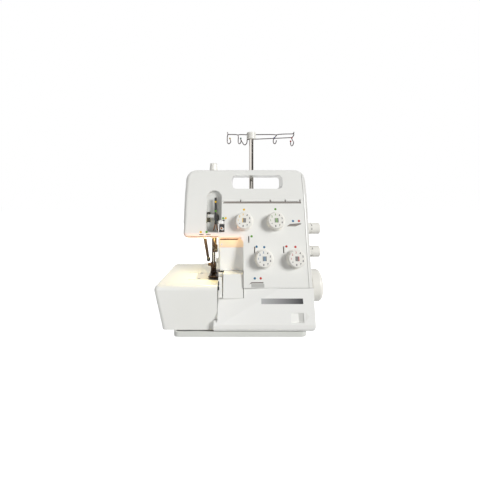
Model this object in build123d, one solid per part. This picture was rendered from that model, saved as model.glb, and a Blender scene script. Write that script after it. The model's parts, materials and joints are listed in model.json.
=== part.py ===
from build123d import *
import os
from math import cos, radians, sin, sqrt, tan

# Domestic overlock sewing machine, seen from the front along +Y.
# Millimetres. X to the right, Y to the back, Z up, origin on the floor under the middle of the outer box.

# Overall box. The machine is drawn from its front and its handwheel, and centred when it is saved.
overall_width = 310.0
overall_depth = 262.0
front = -131.0

# Shared walls and clearances
wall = 2.5
seam_gap = 0.6
rest_gap = 0.3
running_fit = 0.05
room = 1.0

# Feet and base tray
foot_height = 4.0
foot_radius = 9.0
base_height = 9.0
base_floor = 3.0
base_left = -123.5
base_right = 106.5
base_front_setback = 5.5
base_back = 72.0
base_corner = 10.0

# Upper housing, one outer shape that is split into covers
housing_left = -114.5
housing_right = 119.5
housing_back = 56.0
housing_top = 297.0
column_left = -48.5
arm_underside = 167.0
cover_seam_height = 84.0
lean_start_height = 27.0
lean_angle = 14.5
crease_height = 248.0
crown_angle = 22.0
crown_radius = 13.0
shoulder_radius = 21.0
arm_corner_radius = 10.0
front_edge_radius = 8.0
arm_edge_radius = 5.0
split_depth = 112.0
side_cover_width = 7.8

# Carrying handle window, wider in the back cover
handle_left = -24.0
handle_width = 98.0
handle_bottom = 259.0
handle_height = 26.5
handle_corner = 8.0
handle_flare = 12.0
handle_rise = 3.0

# Take-up slot in the front of the arm
slot_left = -71.5
slot_width = 28.5
slot_bottom = 178.0
slot_height = 78.0
slot_lip = 3.0

# Opening in the underside of the arm, for the needle bar and presser bar
underside_opening_left = -101.0
underside_opening_front = -66.5

# Thread ledge, its notches, and the slits and wedges of the thread guides, as X and Z on the panel
ledge_middle = (32.0, 232.7)
ledge_size = (149.0, 3.6)
ledge_depth = 4.0
ledge_notches = (-7.7, 48.5, 76.8, 104.6)
guide_slits = ((7.2, 165.8), (17.8, 147.6), (70.2, 148.2))
guide_slit_size = (2.0, 12.0)
guide_wedges = (
    ((91.0, 192.0), ((-14.0, -3.0), (-7.0, 1.4), (12.0, 2.8), (14.5, 1.6), (3.0, -3.2))),
    ((20.5, 92.6), ((-14.0, -2.6), (-9.0, 1.4), (12.0, 1.4), (12.0, -0.8), (-8.0, -0.8))),
)
arm_slits = ((-79.5, 174.3), (-66.7, 174.3))
arm_slit_size = (8.0, 1.6)

# Recessed panel beside the needle, lamp window above it
recess_right = -2.5
recess_depth = 47.0
recess_bottom = 108.0
lamp_window_bottom = 149.5
lamp_tilt = 18.0
lamp_corner = 8.0
bulb_radius = 7.0
bulb_length = 22.0

# Cloth plate box and needle plate
bed_height = 89.0
cloth_plate_front = -120.5
cloth_plate_back = 39.5
cloth_plate_taper = 8.5
cloth_plate_round = 8.0
cloth_plate_corner = 8.5
bed_split_x = -92.0
bed_right = -52.0
plate_front = -83.5
plate_back = -37.5
plate_thickness = 2.8
hinge_post_x = -117.5
hinge_post_radius = 3.0
knuckle_radius = 6.5

# Looper cover
looper_cover_left = -47.5
chute_top = 106.0
chute_bottom = 66.5
looper_hinge_radius = 8.0
hinge_bar_radius = 2.5
looper_slide = 8.0
cover_tab_width = 6.0
cover_tab_radius = 10.0
grip_left = 78.0
grip_width = 22.0
grip_bottom = 30.0
grip_height = 16.0
grip_depth = 7.0

# Frame casting
frame_wall = 6.0
frame_right = 104.0
frame_plate_front = -28.0
frame_back = 34.0
arm_frame_left = -106.0
arm_frame_bottom = 176.0
arm_frame_top = 250.0

# Needle bar, presser bar and their drive
needle_x = -58.0
needle_y = -53.5
needle_bar_radius = 3.5
needle_bar_bottom = 141.0
needle_bar_top = 268.0
needle_tip = 109.0
needle_spacing = 5.0
presser_x = -62.0
presser_y = -39.5
presser_bar_radius = 3.5
presser_lift = 5.0
boss_half_width = 12.0
boss_height = 11.0
lower_boss = 172.0
upper_boss = 230.0
bush_wall = 2.0
arm_shaft_y = 0.0
arm_shaft_z = 206.0
arm_shaft_radius = 6.0
lever_half_swing = 14.0
foot_length = 54.0
foot_width = 17.5
foot_thickness = 3.0
ankle_height = 97.0
pressure_screw_length = 25.0
pressure_spring_length = 20.0
pressure_screw_radius = 4.0
pressure_knob_radius = 8.0
pressure_knob_height = 14.0
spring_wire = 1.4
spring_turns = 5
lifter_length = 62.0
lifter_lean = 10.0

# Main drive
main_shaft_y = -48.5
main_shaft_z = 68.0
main_shaft_radius = 6.0
handwheel_radius = 31.0
handwheel_width = 27.0
handwheel_gap = 4.0
main_pulley_radius = 28.0
motor_y = 8.0
motor_z = 42.0
motor_radius = 26.0
motor_length = 72.0
motor_pulley_radius = 9.0
motor_shaft_radius = 4.0
belt_width = 6.0
belt_thickness = 2.4

# Thread tension dials, set square to the leaning panel
dial_row_upper = 201.4
dial_row_lower = 136.2
dial_height = 16.0
dial_radius = 15.0
dial_skirt_radius = 17.2
dial_stud_radius = 3.0
tension_depth = 24.0
dials = {
    "left_needle": (-1.3, dial_row_upper),
    "right_needle": (57.0, dial_row_upper),
    "upper_looper": (34.0, dial_row_lower),
    "lower_looper": (90.7, dial_row_lower),
}

# Side knobs, power inlet and switch on the right-hand cover
knob_y = -68.5
knob_radius = 10.8
knob_length = 23.5
knob_stem_radius = 4.0
knob_heights = {"stitch_length": 183.0, "differential_feed": 139.0}
inlet_y = 34.0
inlet_z = 38.0
switch_z = 68.0

# Thread stand and telescopic tube behind the machine
stand_height = 60.0
stand_thickness = 6.0
stand_gap = 2.5
stand_left = -88.0
stand_right = 124.0
tube_x = 19.5
tube_y = 69.0
tube_radius = 5.5
tube_wall = 1.0
socket_wall = 2.5
outer_tube_top = 236.0
tree_height = 391.0
tree_travel = 110.0
pin_spacing = 53.5
pin_setback = 24.0
pin_radius = 3.2
pin_height = 76.0
pin_root_radius = 3.6
pin_root_height = 26.0
cone_radius = 20.0
guide_wire = 1.3
guide_loop = 4.6

# Looper cover details
looper_cover_back = -100.0
looper_corner_radius = 11.0
crease_start = (-42.8, 27.7)
crease_end = (27.3, 66.0)
scoop_depth = 9.0
looper_lug_x = (-8.0, 58.0)
lug_width = 6.0
lug_post_height = 22.0

# Cloth plate hinge
knuckle_bottoms = (18.0, 58.0)
knuckle_height = 8.0

# Feed dogs
feed_left = -66.0
feed_right = -54.0
feed_room = 0.5
feed_stroke = 3.2
front_feed = (-75.0, -61.0)
rear_feed = (-49.0, -44.0)
feed_bar_bottom = 72.0
feed_bar_height = 8.0
feed_bar_back = 20.0

# Knives and loopers
knife_x = -47.0
knife_thickness = 2.0
knife_pivot_y = -38.0
knife_pivot_z = 62.0
knife_pin_radius = 3.0
knife_reach = 37.0
lower_looper_x = -24.0
lower_looper_z = 34.0
upper_looper_x = -13.0
upper_looper_z = 44.0
looper_pin_radius = 4.0
looper_thickness = 3.0
lower_looper_y = -50.0
upper_looper_y = -60.5

# Frame details
bed_arm_bottom = 58.0
rib_x = 4.0

# Levers and the connecting rod
lever_x = -50.0
lever_thickness = 4.0
lever_pin_radius = 2.5
rod_x = 38.0
rod_thickness = 6.0
rod_lever = 25.0
rod_pin_radius = 3.0
rod_bottom = 99.0
take_up_x = -72.0
take_up_y = -44.0
take_up_z = 207.0
take_up_hub = 5.0
take_up_pin_radius = 2.5
take_up_face = (-57.2, -52.8)
lifter_x = -82.0
lifter_y = (-46.0, -38.0)
lifter_z = 178.0
lifter_pin_radius = 3.0
needle_radius = 0.8
tongue_half = 2.5
ankle_pin_radius = 1.5

# Motor, handwheel grip, dial hub and lamp
motor_right = 92.0
hub_depth = 5.5
lamp_x = -25.0
lamp_z = 157.0

# Thread tree
tree_overlap = 44.0
tree_ends = (-38.0, 123.0)
guide_x = (-34.7, -5.6, 75.4, 116.8)
guide_drop = 17.0

# Switch
switch_half_y = 7.0
switch_half_z = 11.0
switch_pin_radius = 1.5

# Screws
screw_radius = 1.6
screw_head = 2.0
rear_screw_length = 10.0
rear_post_radius = 5.0
rear_screw_spots = ((78.0, 112.0), (78.0, 238.0), (-97.0, 213.0))
plate_screw_length = 9.0

# Longer than anything here, for cuts that go right through
far = 400.0

# Worked-out places
back = front + overall_depth
right = housing_right + handwheel_gap + handwheel_width
left = right - overall_width
base_front = front + base_front_setback
base_top = foot_height + base_height
tray_floor = foot_height + base_floor
slope = tan(radians(lean_angle))
split_y = front + split_depth
side_split = housing_right - side_cover_width
recess_y = front + recess_depth + wall
looper_axis_y = front + looper_hinge_radius
looper_axis_z = base_top + seam_gap + looper_hinge_radius
needle_reach = arm_shaft_y - needle_y
needle_stroke = 2 * needle_reach * tan(radians(lever_half_swing))
bed_seat = bed_height - plate_thickness
pressure_boss = housing_top - pressure_screw_length
presser_bar_top = pressure_boss - pressure_spring_length
pin_row_y = back - pin_setback
spool_x = [tube_x + pin_spacing * step for step in (-1.5, -0.5, 0.5, 1.5)]
guided_bars = (
    (needle_x, needle_y, needle_bar_radius),
    (presser_x, presser_y, presser_bar_radius),
)


def front_y(z):
    """Depth of the leaning front face at a height."""
    return front + max(0.0, z - lean_start_height) * slope


def block(x, y, z):
    """Box between pairs of limits."""
    middle = Pos((x[0] + x[1]) / 2, (y[0] + y[1]) / 2, (z[0] + z[1]) / 2)
    return middle * Box(x[1] - x[0], y[1] - y[0], z[1] - z[0])


def about(middle, half):
    """Pair of limits either side of a middle."""
    return (middle - half, middle + half)


def bar_x(x, y, z, radius):
    """Round bar along X between two limits."""
    return Pos((x[0] + x[1]) / 2, y, z) * Rot(0, 90, 0) * Cylinder(radius, x[1] - x[0])


def bar_y(x, y, z, radius):
    """Round bar along Y between two limits."""
    return Pos(x, (y[0] + y[1]) / 2, z) * Rot(90, 0, 0) * Cylinder(radius, y[1] - y[0])


def bar_z(x, y, z, radius):
    """Round bar along Z between two limits."""
    return Pos(x, y, (z[0] + z[1]) / 2) * Cylinder(radius, z[1] - z[0])


def slab_x(points, x):
    """Flat shape drawn in the YZ plane, given thickness between two X limits."""
    outline = make_face(Polyline(*points, close=True))
    upright = Plane(origin=(x[0], 0, 0), x_dir=(0, 1, 0), z_dir=(1, 0, 0))
    return extrude(upright * outline, amount=x[1] - x[0])


def slab_y(points, y):
    """Flat shape drawn in the XZ plane, given thickness between two Y limits."""
    outline = make_face(Polyline(*points, close=True))
    upright = Plane(origin=(0, y[1], 0), x_dir=(1, 0, 0), z_dir=(0, -1, 0))
    return extrude(upright * outline, amount=y[1] - y[0])


def on_panel(x, z, out=0.0):
    """Place on the leaning front panel: local X across, Y up the panel, Z out of it."""
    turn = radians(lean_angle)
    panel = Plane(origin=(x, front_y(z), z), x_dir=(1, 0, 0), z_dir=(0, -cos(turn), sin(turn)))
    return panel.location * Pos(0, 0, out)


def dial_seat(name):
    """Place on the panel under a dial, so that its face is centred at the dial's given spot."""
    x, z = dials[name]
    return on_panel(x, z - dial_height * sin(radians(lean_angle)))


def ring_x(x, y, z, outer, inner):
    """Plain ring along X."""
    return bar_x(x, y, z, outer) - bar_x((x[0] - room, x[1] + room), y, z, inner)


def ring_z(x, y, z, outer, inner):
    """Plain ring along Z."""
    return bar_z(x, y, z, outer) - bar_z(x, y, (z[0] - room, z[1] + room), inner)


def coil(radius, wire, height, turns):
    """Compression spring standing on Z = 0, one unbroken tube."""
    rise = height - wire
    path = Helix(pitch=rise / turns, height=rise, radius=radius)
    section = Plane(origin=path @ 0, z_dir=path % 0) * Circle(wire / 2)
    return Pos(0, 0, wire / 2) * sweep(section, path=path)


def save(name, shape):
    """Write one named piece, or a group of separate pieces, to its own file, centred on the outer box."""
    centre = Pos(-(left + right) / 2, -(front + back) / 2, 0)
    export_step(centre * shape, "parts/" + name + ".step")


# Housing shape


def housing_solid(inset):
    """Outer shape of the covers, or the same shape drawn in by a wall."""
    low = base_top + seam_gap - (2 * room if inset else 0)
    lean = inset / cos(radians(lean_angle))
    crown = inset / cos(radians(crown_angle))
    top = housing_top - inset
    crown_y = front_y(crease_height) + (housing_top - crease_height) * tan(radians(crown_angle))
    side = [
        (front + inset, low),
        (front + inset, lean_start_height),
        (front_y(crease_height) + lean, crease_height),
        (crown_y + crown, top),
        (housing_back - inset, top),
        (housing_back - inset, low),
    ]
    across = (housing_left - room, housing_right + room)
    body = slab_x(side, across)
    long_edges = body.edges().filter_by(Axis.X).group_by(Axis.Z)[-1]
    body = fillet(long_edges, crown_radius - inset)
    foot = column_left + inset
    outline = [
        (housing_left + inset, arm_underside + inset),
        (housing_left + inset, top),
        (housing_right - inset, top),
        (housing_right - inset, low),
        (foot, low),
        (foot, arm_underside + inset),
    ]
    face = slab_y(outline, (front - room, housing_back + room))
    upright = face.edges().filter_by(Axis.Y)
    shoulders = upright.group_by(Axis.Z)[-1]
    face = fillet(shoulders, shoulder_radius - inset)
    corner = face.edges().filter_by(Axis.Y).filter_by_position(Axis.X, left, housing_left + wall)
    face = fillet(corner.group_by(Axis.Z)[0], arm_corner_radius - inset / 2)
    return body & face


def handle_window(grow):
    """Rounded passage through the covers under the carrying bar."""
    x = (handle_left - grow, handle_left + handle_width + grow)
    z = (handle_bottom - grow, handle_bottom + handle_height + grow)
    passage = block(x, (front, housing_back + room), z)
    return fillet(passage.edges().filter_by(Axis.Y), handle_corner + grow)


def handle_hollow(grow):
    """Wider part of the passage in the back cover, where the fingers close round the bar."""
    x = (handle_left - handle_flare - grow, handle_left + handle_width + handle_flare + grow)
    z = (handle_bottom - grow, handle_bottom + handle_height + handle_rise + grow)
    start = split_y + seam_gap / 2 + wall - grow
    hollow = block(x, (start, housing_back + room), z)
    return fillet(hollow.edges().filter_by(Axis.Y), handle_corner + grow)


def take_up_slot(grow, deep):
    """Arch-topped slot in the front of the arm, drawn on the leaning panel."""
    half = slot_width / 2 + grow
    rise = slot_height / cos(radians(lean_angle))
    start = on_panel(slot_left + slot_width / 2, slot_bottom)
    arch = Pos(0, rise - slot_width / 2) * Circle(half)
    shape = Pos(0, (rise - slot_width / 2) / 2 - grow / 2) * Rectangle(2 * half, rise - slot_width / 2 + grow)
    return extrude(start * Pos(0, 0, room) * (shape + arch), amount=-(deep + room))


def recess_corner(grow):
    """Rounded filling between the ceiling of the lamp recess and its right-hand cheek."""
    middle = (recess_right - lamp_corner, arm_underside - lamp_corner)
    square = block((middle[0], recess_right), (front, recess_y), (middle[1], arm_underside))
    return square - bar_y(middle[0], (front - room, recess_y + room), middle[1], lamp_corner - grow)


def arm_edge():
    """Corner that is rounded off along the lower front edge of the arm."""
    x = (housing_left - room, recess_right - lamp_corner / 2)
    middle_z = arm_underside + arm_edge_radius
    middle_y = front_y(middle_z) + arm_edge_radius / cos(radians(lean_angle))
    top = middle_z + arm_edge_radius * sin(radians(lean_angle))
    corner = block(x, (front, middle_y), (arm_underside - room, top))
    return corner - bar_x((x[0] - room, x[1] + room), middle_y, middle_z, arm_edge_radius)


def slots_in_panel():
    """Thread channels and guide slits that are cut into the front panel."""
    through = 3 * wall
    cuts = [on_panel(*ledge_middle) * Box(*ledge_size, ledge_depth)]
    for x in ledge_notches:
        cuts.append(on_panel(x, ledge_middle[1] + ledge_size[1]) * Box(2.4, 5.0, ledge_depth))
    for spot in guide_slits:
        cuts.append(on_panel(*spot) * Box(*guide_slit_size, through))
    for spot, outline in guide_wedges:
        wedge = make_face(Polyline(*outline, close=True))
        cuts.append(extrude(on_panel(*spot, room) * wedge, amount=-through))
    for spot in arm_slits:
        cuts.append(on_panel(*spot) * Box(*arm_slit_size, through))
    return cuts


def rounded_housing():
    """Housing with its front side edges eased, as the moulded covers have."""
    shape = housing_solid(0)
    edges = []
    for edge in shape.edges():
        box = edge.bounding_box()
        at_right = box.min.X > housing_right - shoulder_radius - 0.1
        at_left = box.max.X < housing_left + shoulder_radius + 0.1
        upright = box.max.Z - box.min.Z > room
        at_front = box.max.Y < front_y(housing_top) + shoulder_radius
        at_back = box.min.Y > housing_back - crown_radius - 0.1
        if (at_left or at_right) and upright and (at_front or at_back):
            edges.append(edge)
    return fillet(edges, front_edge_radius)


def screw(place, length):
    """Small flat-headed screw: local Z points out of the surface that it is driven into."""
    head = Pos(0, 0, -screw_head / 2) * Cylinder(screw_radius * 2, screw_head)
    slit = Pos(0, 0, 0) * Box(screw_radius * 3, screw_head / 3, screw_head)
    shank = Pos(0, 0, -(screw_head + length) / 2) * Cylinder(screw_radius, length - screw_head)
    return place * (head - slit + shank)


def screw_hole(place, length):
    """Room for a screw in the pieces that it holds."""
    head = Pos(0, 0, -screw_head / 2 + room) * Cylinder(screw_radius * 2 + running_fit, screw_head + 2 * room)
    shank = Pos(0, 0, -length / 2) * Cylinder(screw_radius + running_fit, length + running_fit)
    return place * (head + shank)


# Screw places
rear_face = Plane(origin=(0, housing_back, 0), x_dir=(-1, 0, 0), z_dir=(0, 1, 0)).location
rear_screws = [rear_face * Pos(-x, z, 0) for x, z in rear_screw_spots]
plate_screws = [
    Pos(bed_split_x + frame_wall, plate_front + frame_wall, bed_height),
    Pos(bed_split_x + frame_wall, plate_back - 2 * screw_radius - room, bed_height),
]

# Covers
outer_shape = rounded_housing()
inner_shape = housing_solid(wall)
housing = outer_shape - inner_shape
housing += (handle_window(wall) + handle_hollow(wall)) & outer_shape
housing -= handle_window(0) + handle_hollow(0)
front_half = block((-far, side_split - seam_gap / 2), (-far, split_y - seam_gap / 2), (-far, far))
rear_half = block((-far, side_split - seam_gap / 2), (split_y + seam_gap / 2, far), (-far, far))
side_slice = block((side_split + seam_gap / 2, far), (-far, far), (-far, far))
below_seam = block((-far, far), (-far, far), (-far, cover_seam_height + seam_gap))


def front_cover():
    """Front of the arm and column, with the take-up slot, lamp recess, dial holes and thread channels."""
    shape = (housing & front_half) - below_seam
    recess_x = (column_left - room, recess_right)
    shape -= block(recess_x, (-far, recess_y), (0, arm_underside))
    shape -= block(recess_x, (-far, split_y), (0, recess_bottom))
    ceiling_z = (arm_underside, arm_underside + wall)
    cheek_z = (cover_seam_height + seam_gap, arm_underside)
    ceiling = block((column_left, recess_right + wall), (-far, recess_y), ceiling_z)
    cheek = block((recess_right, recess_right + wall), (-far, recess_y), cheek_z)
    shape += (ceiling + cheek + recess_corner(0)) & outer_shape
    shape -= arm_edge()
    shape += take_up_slot(wall / 2, wall + slot_lip) & outer_shape
    shape -= take_up_slot(0, wall + slot_lip + room)
    opening_x = (underside_opening_left, column_left - wall)
    opening_y = (underside_opening_front, split_y - frame_wall)
    shape -= block(opening_x, opening_y, (arm_underside - room, ceiling_z[1] + 0.01))
    for name in dials:
        shape -= dial_seat(name) * Cylinder(dial_stud_radius + 2 * wall, 6 * wall)
    top_z = (housing_top - 4 * wall, housing_top + room)
    shape -= bar_z(presser_x, presser_y, top_z, pressure_screw_radius + room / 2)
    for cut in slots_in_panel():
        shape -= cut
    return shape


def rear_cover():
    """Back shell of the arm and column."""
    shape = housing & rear_half
    shape -= block((-far, column_left + 4 * wall), (-far, frame_back + room), (0, bed_height + room))
    for place in rear_screws:
        shape -= screw_hole(place, rear_screw_length)
    return shape


def belt_cover():
    """Right-hand cover over the belt, with holes for the handwheel shaft, knobs, inlet and switch."""
    shape = housing & side_slice
    shape -= block((0, far), (-far, looper_cover_back + seam_gap), (0, cover_seam_height + seam_gap))
    swing = sqrt((looper_cover_back - looper_axis_y) ** 2 + (looper_axis_z - base_top - seam_gap) ** 2)
    shape -= bar_x((0, far), looper_axis_y, looper_axis_z, swing + rest_gap)
    shape -= bar_x((0, far), main_shaft_y, main_shaft_z, main_shaft_radius + 2.0)
    for z in knob_heights.values():
        shape -= bar_x((0, far), knob_y, z, knob_stem_radius + 0.5)
    shape -= inlet_body(rest_gap)
    shape -= switch_opening()
    return shape


def inlet_body(grow):
    """Block of the mains inlet that sits in the side cover."""
    half = (12.0 + grow, 9.5 + grow)
    x = (frame_right, housing_right + (room if grow else 0))
    return block(x, about(inlet_y, half[0]), about(inlet_z, half[1]))


def power_inlet():
    """Mains inlet with its two contact pins in a recess, moulded in one with the switch bezel."""
    shape = inlet_body(0)
    shape -= block((housing_right - 9.0, housing_right + room), about(inlet_y, 8.5), about(inlet_z, 6.0))
    for offset in (-4.0, 4.0):
        shape += bar_x((housing_right - 10.0, housing_right - 1.5), inlet_y + offset, inlet_z, 1.6)
    bridge = block((frame_right, side_split - 2 * wall), about(inlet_y, switch_half_y), (inlet_z, switch_z))
    return shape + bridge + switch_frame()


def switch_opening():
    """Opening in the side cover for the power switch."""
    y = about(inlet_y, switch_half_y + rest_gap)
    z = about(switch_z, switch_half_z + rest_gap)
    return block((side_split, housing_right + room), y, z)


switch_axis_x = housing_right - 4.0


def switch_frame():
    """Bezel and body that hold the rocker, standing on the frame's right wall."""
    shape = block((frame_right, housing_right), about(inlet_y, switch_half_y), about(switch_z, switch_half_z))
    inside_y = about(inlet_y, switch_half_y - wall / 2)
    inside_z = about(switch_z, switch_half_z - wall / 2)
    shape -= block((switch_axis_x - 8.0, housing_right + room), inside_y, inside_z)
    pin_y = about(inlet_y, switch_half_y + room)
    shape -= bar_y(switch_axis_x, pin_y, switch_z, switch_pin_radius + running_fit)
    return shape


def power_switch():
    """Rocker on its own cross pin."""
    half_y = switch_half_y - wall / 2 - rest_gap
    half_z = switch_half_z - wall / 2 - 2 * room
    rocker = slab_y(
        [
            (switch_axis_x - 3.0, switch_z - half_z),
            (switch_axis_x + 7.0, switch_z - half_z),
            (switch_axis_x + 5.0, switch_z),
            (switch_axis_x + 4.0, switch_z + half_z),
            (switch_axis_x - 3.0, switch_z + half_z),
        ],
        about(inlet_y, half_y),
    )
    return rocker + bar_y(switch_axis_x, about(inlet_y, switch_half_y), switch_z, switch_pin_radius)


# Looper cover


def looper_outer(inset):
    """Outer shape of the looper cover, or the same drawn in by its wall and left open behind."""
    low = base_top + seam_gap
    spare = room if inset else 0.0
    x = (looper_cover_left + inset, housing_right - inset)
    tab_x = (x[0] - cover_tab_width, x[1])
    top_y = front_y(cover_seam_height + spare) + inset / cos(radians(lean_angle))
    shape = slab_x(
        [
            (front + inset, low + inset),
            (front + inset, lean_start_height),
            (top_y, cover_seam_height + spare),
            (looper_cover_back + spare, cover_seam_height + spare),
            (looper_cover_back + spare, low + inset),
        ],
        tab_x,
    )
    keel = shape.edges().filter_by(Axis.X).group_by(Axis.Z)[0].group_by(Axis.Y)[0]
    shape = fillet(keel, looper_hinge_radius - inset)
    beside = (-far, x[0])
    knuckle = bar_x(beside, looper_axis_y, looper_axis_z, cover_tab_radius - inset)
    shape -= block(beside, (-far, far), (-far, far)) - knuckle
    if inset:
        shape += block(x, (looper_axis_y, looper_cover_back + spare), (low - spare, low + 2 * inset))
    depth = (front - room, looper_cover_back + 2 * room)
    outline = block(tab_x, depth, (low - spare, cover_seam_height + spare))
    foot = outline.edges().filter_by(Axis.Y).group_by(Axis.Z)[0].group_by(Axis.X)[-1]
    shape &= fillet(foot, looper_corner_radius - inset)
    return shape - extrude(scoop_plane().offset(-inset) * Rectangle(far, far), amount=far)


def scoop_plane():
    """Plane that dishes the upper left of the looper cover, along a slanting crease."""
    start = Vector(crease_start[0], front_y(crease_start[1]), crease_start[1])
    end = Vector(crease_end[0], front_y(crease_end[1]), crease_end[1])
    corner = Vector(looper_cover_left, front_y(chute_bottom) + scoop_depth, chute_bottom)
    return Plane(origin=start, x_dir=end - start, z_dir=(end - start).cross(corner - start))


def looper_cover():
    """Front flap over the loopers: leaning wall, returns at both ends, finger grip and hinge ears."""
    shape = looper_outer(0) - looper_outer(wall)
    shape -= block((-far, recess_right + seam_gap), (-far, far), (chute_bottom, far))
    grip = on_panel(grip_left, grip_bottom)
    lining = block((-wall, grip_width + wall), (-wall, grip_height + wall), (-grip_depth - wall, 0))
    shape += (grip * lining) & looper_outer(0)
    pocket = Polyline((0, room), (grip_width, room), (grip_width, -grip_depth), (0, -room), close=True)
    shape -= grip * extrude(Plane.XZ * make_face(pocket), amount=-grip_height)
    for x in looper_lug_x:
        ear = ring_x((x + lug_width + rest_gap, x + 2 * lug_width), looper_axis_y, looper_axis_z,
                     looper_hinge_radius - wall / 2, hinge_bar_radius + running_fit)
        shape += ear
    reach = sqrt((front_y(cover_seam_height) - looper_axis_y) ** 2 + (cover_seam_height - looper_axis_z) ** 2)
    return shape & bar_x((-far, far), looper_axis_y, looper_axis_z, reach)


lug_post_y = looper_axis_y + 24.0


def cover_hinge_brackets():
    """Two brackets on the base that carry the sliding hinge bar of the looper cover."""
    lugs = []
    for x in looper_lug_x:
        span = (x, x + lug_width)
        lug = bar_x(span, looper_axis_y, looper_axis_z, hinge_bar_radius + 2.0)
        top = base_top + lug_post_height
        lug += slab_x(
            [
                (looper_axis_y, looper_axis_z + 4.0),
                (looper_axis_y + 1.0, looper_axis_z),
                (lug_post_y - 6.0, top - 9.0),
                (lug_post_y - 6.0, tray_floor),
                (lug_post_y, tray_floor),
                (lug_post_y, top),
                (lug_post_y - 6.0, top),
            ],
            span,
        )
        lug -= bar_x((-far, far), looper_axis_y, looper_axis_z, hinge_bar_radius + running_fit)
        lugs.append(lug)
    return Compound(lugs)


def hinge_bar():
    """Steel bar that slides sideways in the brackets and carries the looper cover."""
    x = (looper_lug_x[0] - looper_slide - room, looper_lug_x[1] + 3 * lug_width)
    return bar_x(x, looper_axis_y, looper_axis_z, hinge_bar_radius)


# Base


def base_plate():
    """Shallow tray under the whole machine."""
    x = (base_left, base_right)
    tray = block(x, (base_front, base_back), (foot_height, base_top))
    tray = fillet(tray.edges().filter_by(Axis.Z), base_corner)
    pocket = block(
        (x[0] + wall, x[1] - wall), (base_front + wall, base_back - wall), (tray_floor, base_top + room)
    )
    pocket = fillet(pocket.edges().filter_by(Axis.Z), base_corner - wall)
    tray -= pocket
    seat = bar_z(hinge_post_x, hinge_post_y, (tray_floor, base_top), knuckle_radius)
    return tray + (seat & block(x, (base_front, base_back), (0, far)))


hinge_post_y = cloth_plate_back + knuckle_radius + room


def rubber_feet():
    """Four feet pressed against the underside of the tray."""
    feet = []
    for x in (base_left + 2 * foot_radius, base_right - 2 * foot_radius):
        for y in (base_front + 2 * foot_radius, base_back - 2 * foot_radius):
            foot = bar_z(x, y, (0, foot_height), foot_radius)
            feet.append(chamfer(foot.edges().group_by(Axis.Z)[0], 1.0))
    return Compound(feet)


# Bed


def cloth_plate_solid(inset):
    """Outer shape of the swing-out cloth plate, narrowing to its foot, or the same drawn in."""
    low = base_top + seam_gap - (room if inset else 0)
    taper = cloth_plate_taper * (bed_height - low) / (bed_height - base_top)
    side_slope = 2 * cloth_plate_taper / (bed_height - base_top)
    overhang = cloth_plate_round * (sqrt(1 + side_slope**2) - 1 + side_slope)
    x = (left - overhang + inset, looper_cover_left - seam_gap)
    y = (cloth_plate_front + inset, cloth_plate_back - inset)
    outline = [
        (x[0], bed_height - inset),
        (x[1] + (room if inset else 0), bed_height - inset),
        (x[1] + (room if inset else 0), low),
        (x[0] + 2 * taper, low),
    ]
    shape = slab_y(outline, y)
    corner = shape.edges().filter_by_position(Axis.X, left - 2 * overhang, left + 3 * cloth_plate_taper)
    corner = [edge for edge in corner if abs((edge % 0.5).Z) > 0.5]
    shape = fillet(corner, cloth_plate_corner - inset)
    rim = shape.faces().sort_by(Axis.Z)[-1].edges()
    rim = [edge for edge in rim if edge.bounding_box().min.X < looper_cover_left - 2 * room]
    return fillet(rim, cloth_plate_round - inset)


def cloth_plate():
    """Hollow table at the left that swings out on the post behind it."""
    shape = cloth_plate_solid(0) - cloth_plate_solid(wall)
    shape -= block((bed_split_x - seam_gap / 2, far), (plate_front - seam_gap / 2, far), (0, far))
    knuckle_x = (looper_cover_left - cover_tab_width - seam_gap, looper_cover_left)
    shape -= bar_x(knuckle_x, looper_axis_y, looper_axis_z, cover_tab_radius + seam_gap)
    for bottom in knuckle_bottoms:
        z = (bottom, bottom + knuckle_height)
        ear = bar_z(hinge_post_x, hinge_post_y, z, knuckle_radius)
        ear += block(
            about(hinge_post_x, knuckle_radius), (cloth_plate_back - wall, hinge_post_y), z
        )
        shape += ear
    shape -= bar_z(hinge_post_x, hinge_post_y, (0, far), hinge_post_radius + running_fit)
    for spot in ((plate_back + 1.0, 40.0), (plate_front - 0.0, 26.0)):
        groove = block((bed_split_x - spot[1] / 2, bed_split_x), about(spot[0], 1.2), (bed_height - 1.0, far))
        shape -= groove
    return shape


def cloth_plate_post():
    """Upright steel post that the cloth plate turns on."""
    return bar_z(hinge_post_x, hinge_post_y, (base_top, bed_height - 3 * wall), hinge_post_radius)


def needle_plate():
    """Steel plate under the foot, with slots for the feed dogs and the needles."""
    plate = block((bed_split_x, bed_right), (plate_front, plate_back), (bed_seat, bed_height))
    feed_x = (feed_left - feed_room, feed_right + feed_room)
    plate -= block(feed_x, (front_feed[0] - room, front_feed[1] + feed_stroke + room), (0, far))
    plate -= block(feed_x, (rear_feed[0] - room, rear_feed[1] + feed_stroke + room), (0, far))
    half = needle_spacing / 2 + 2.0
    plate -= block((needle_x - half, needle_x + half), (needle_y - 1.6, needle_y + 1.6), (0, far))
    for place in plate_screws:
        plate -= screw_hole(place, plate_screw_length)
    return plate


feed_top = bed_height - 0.5


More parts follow.
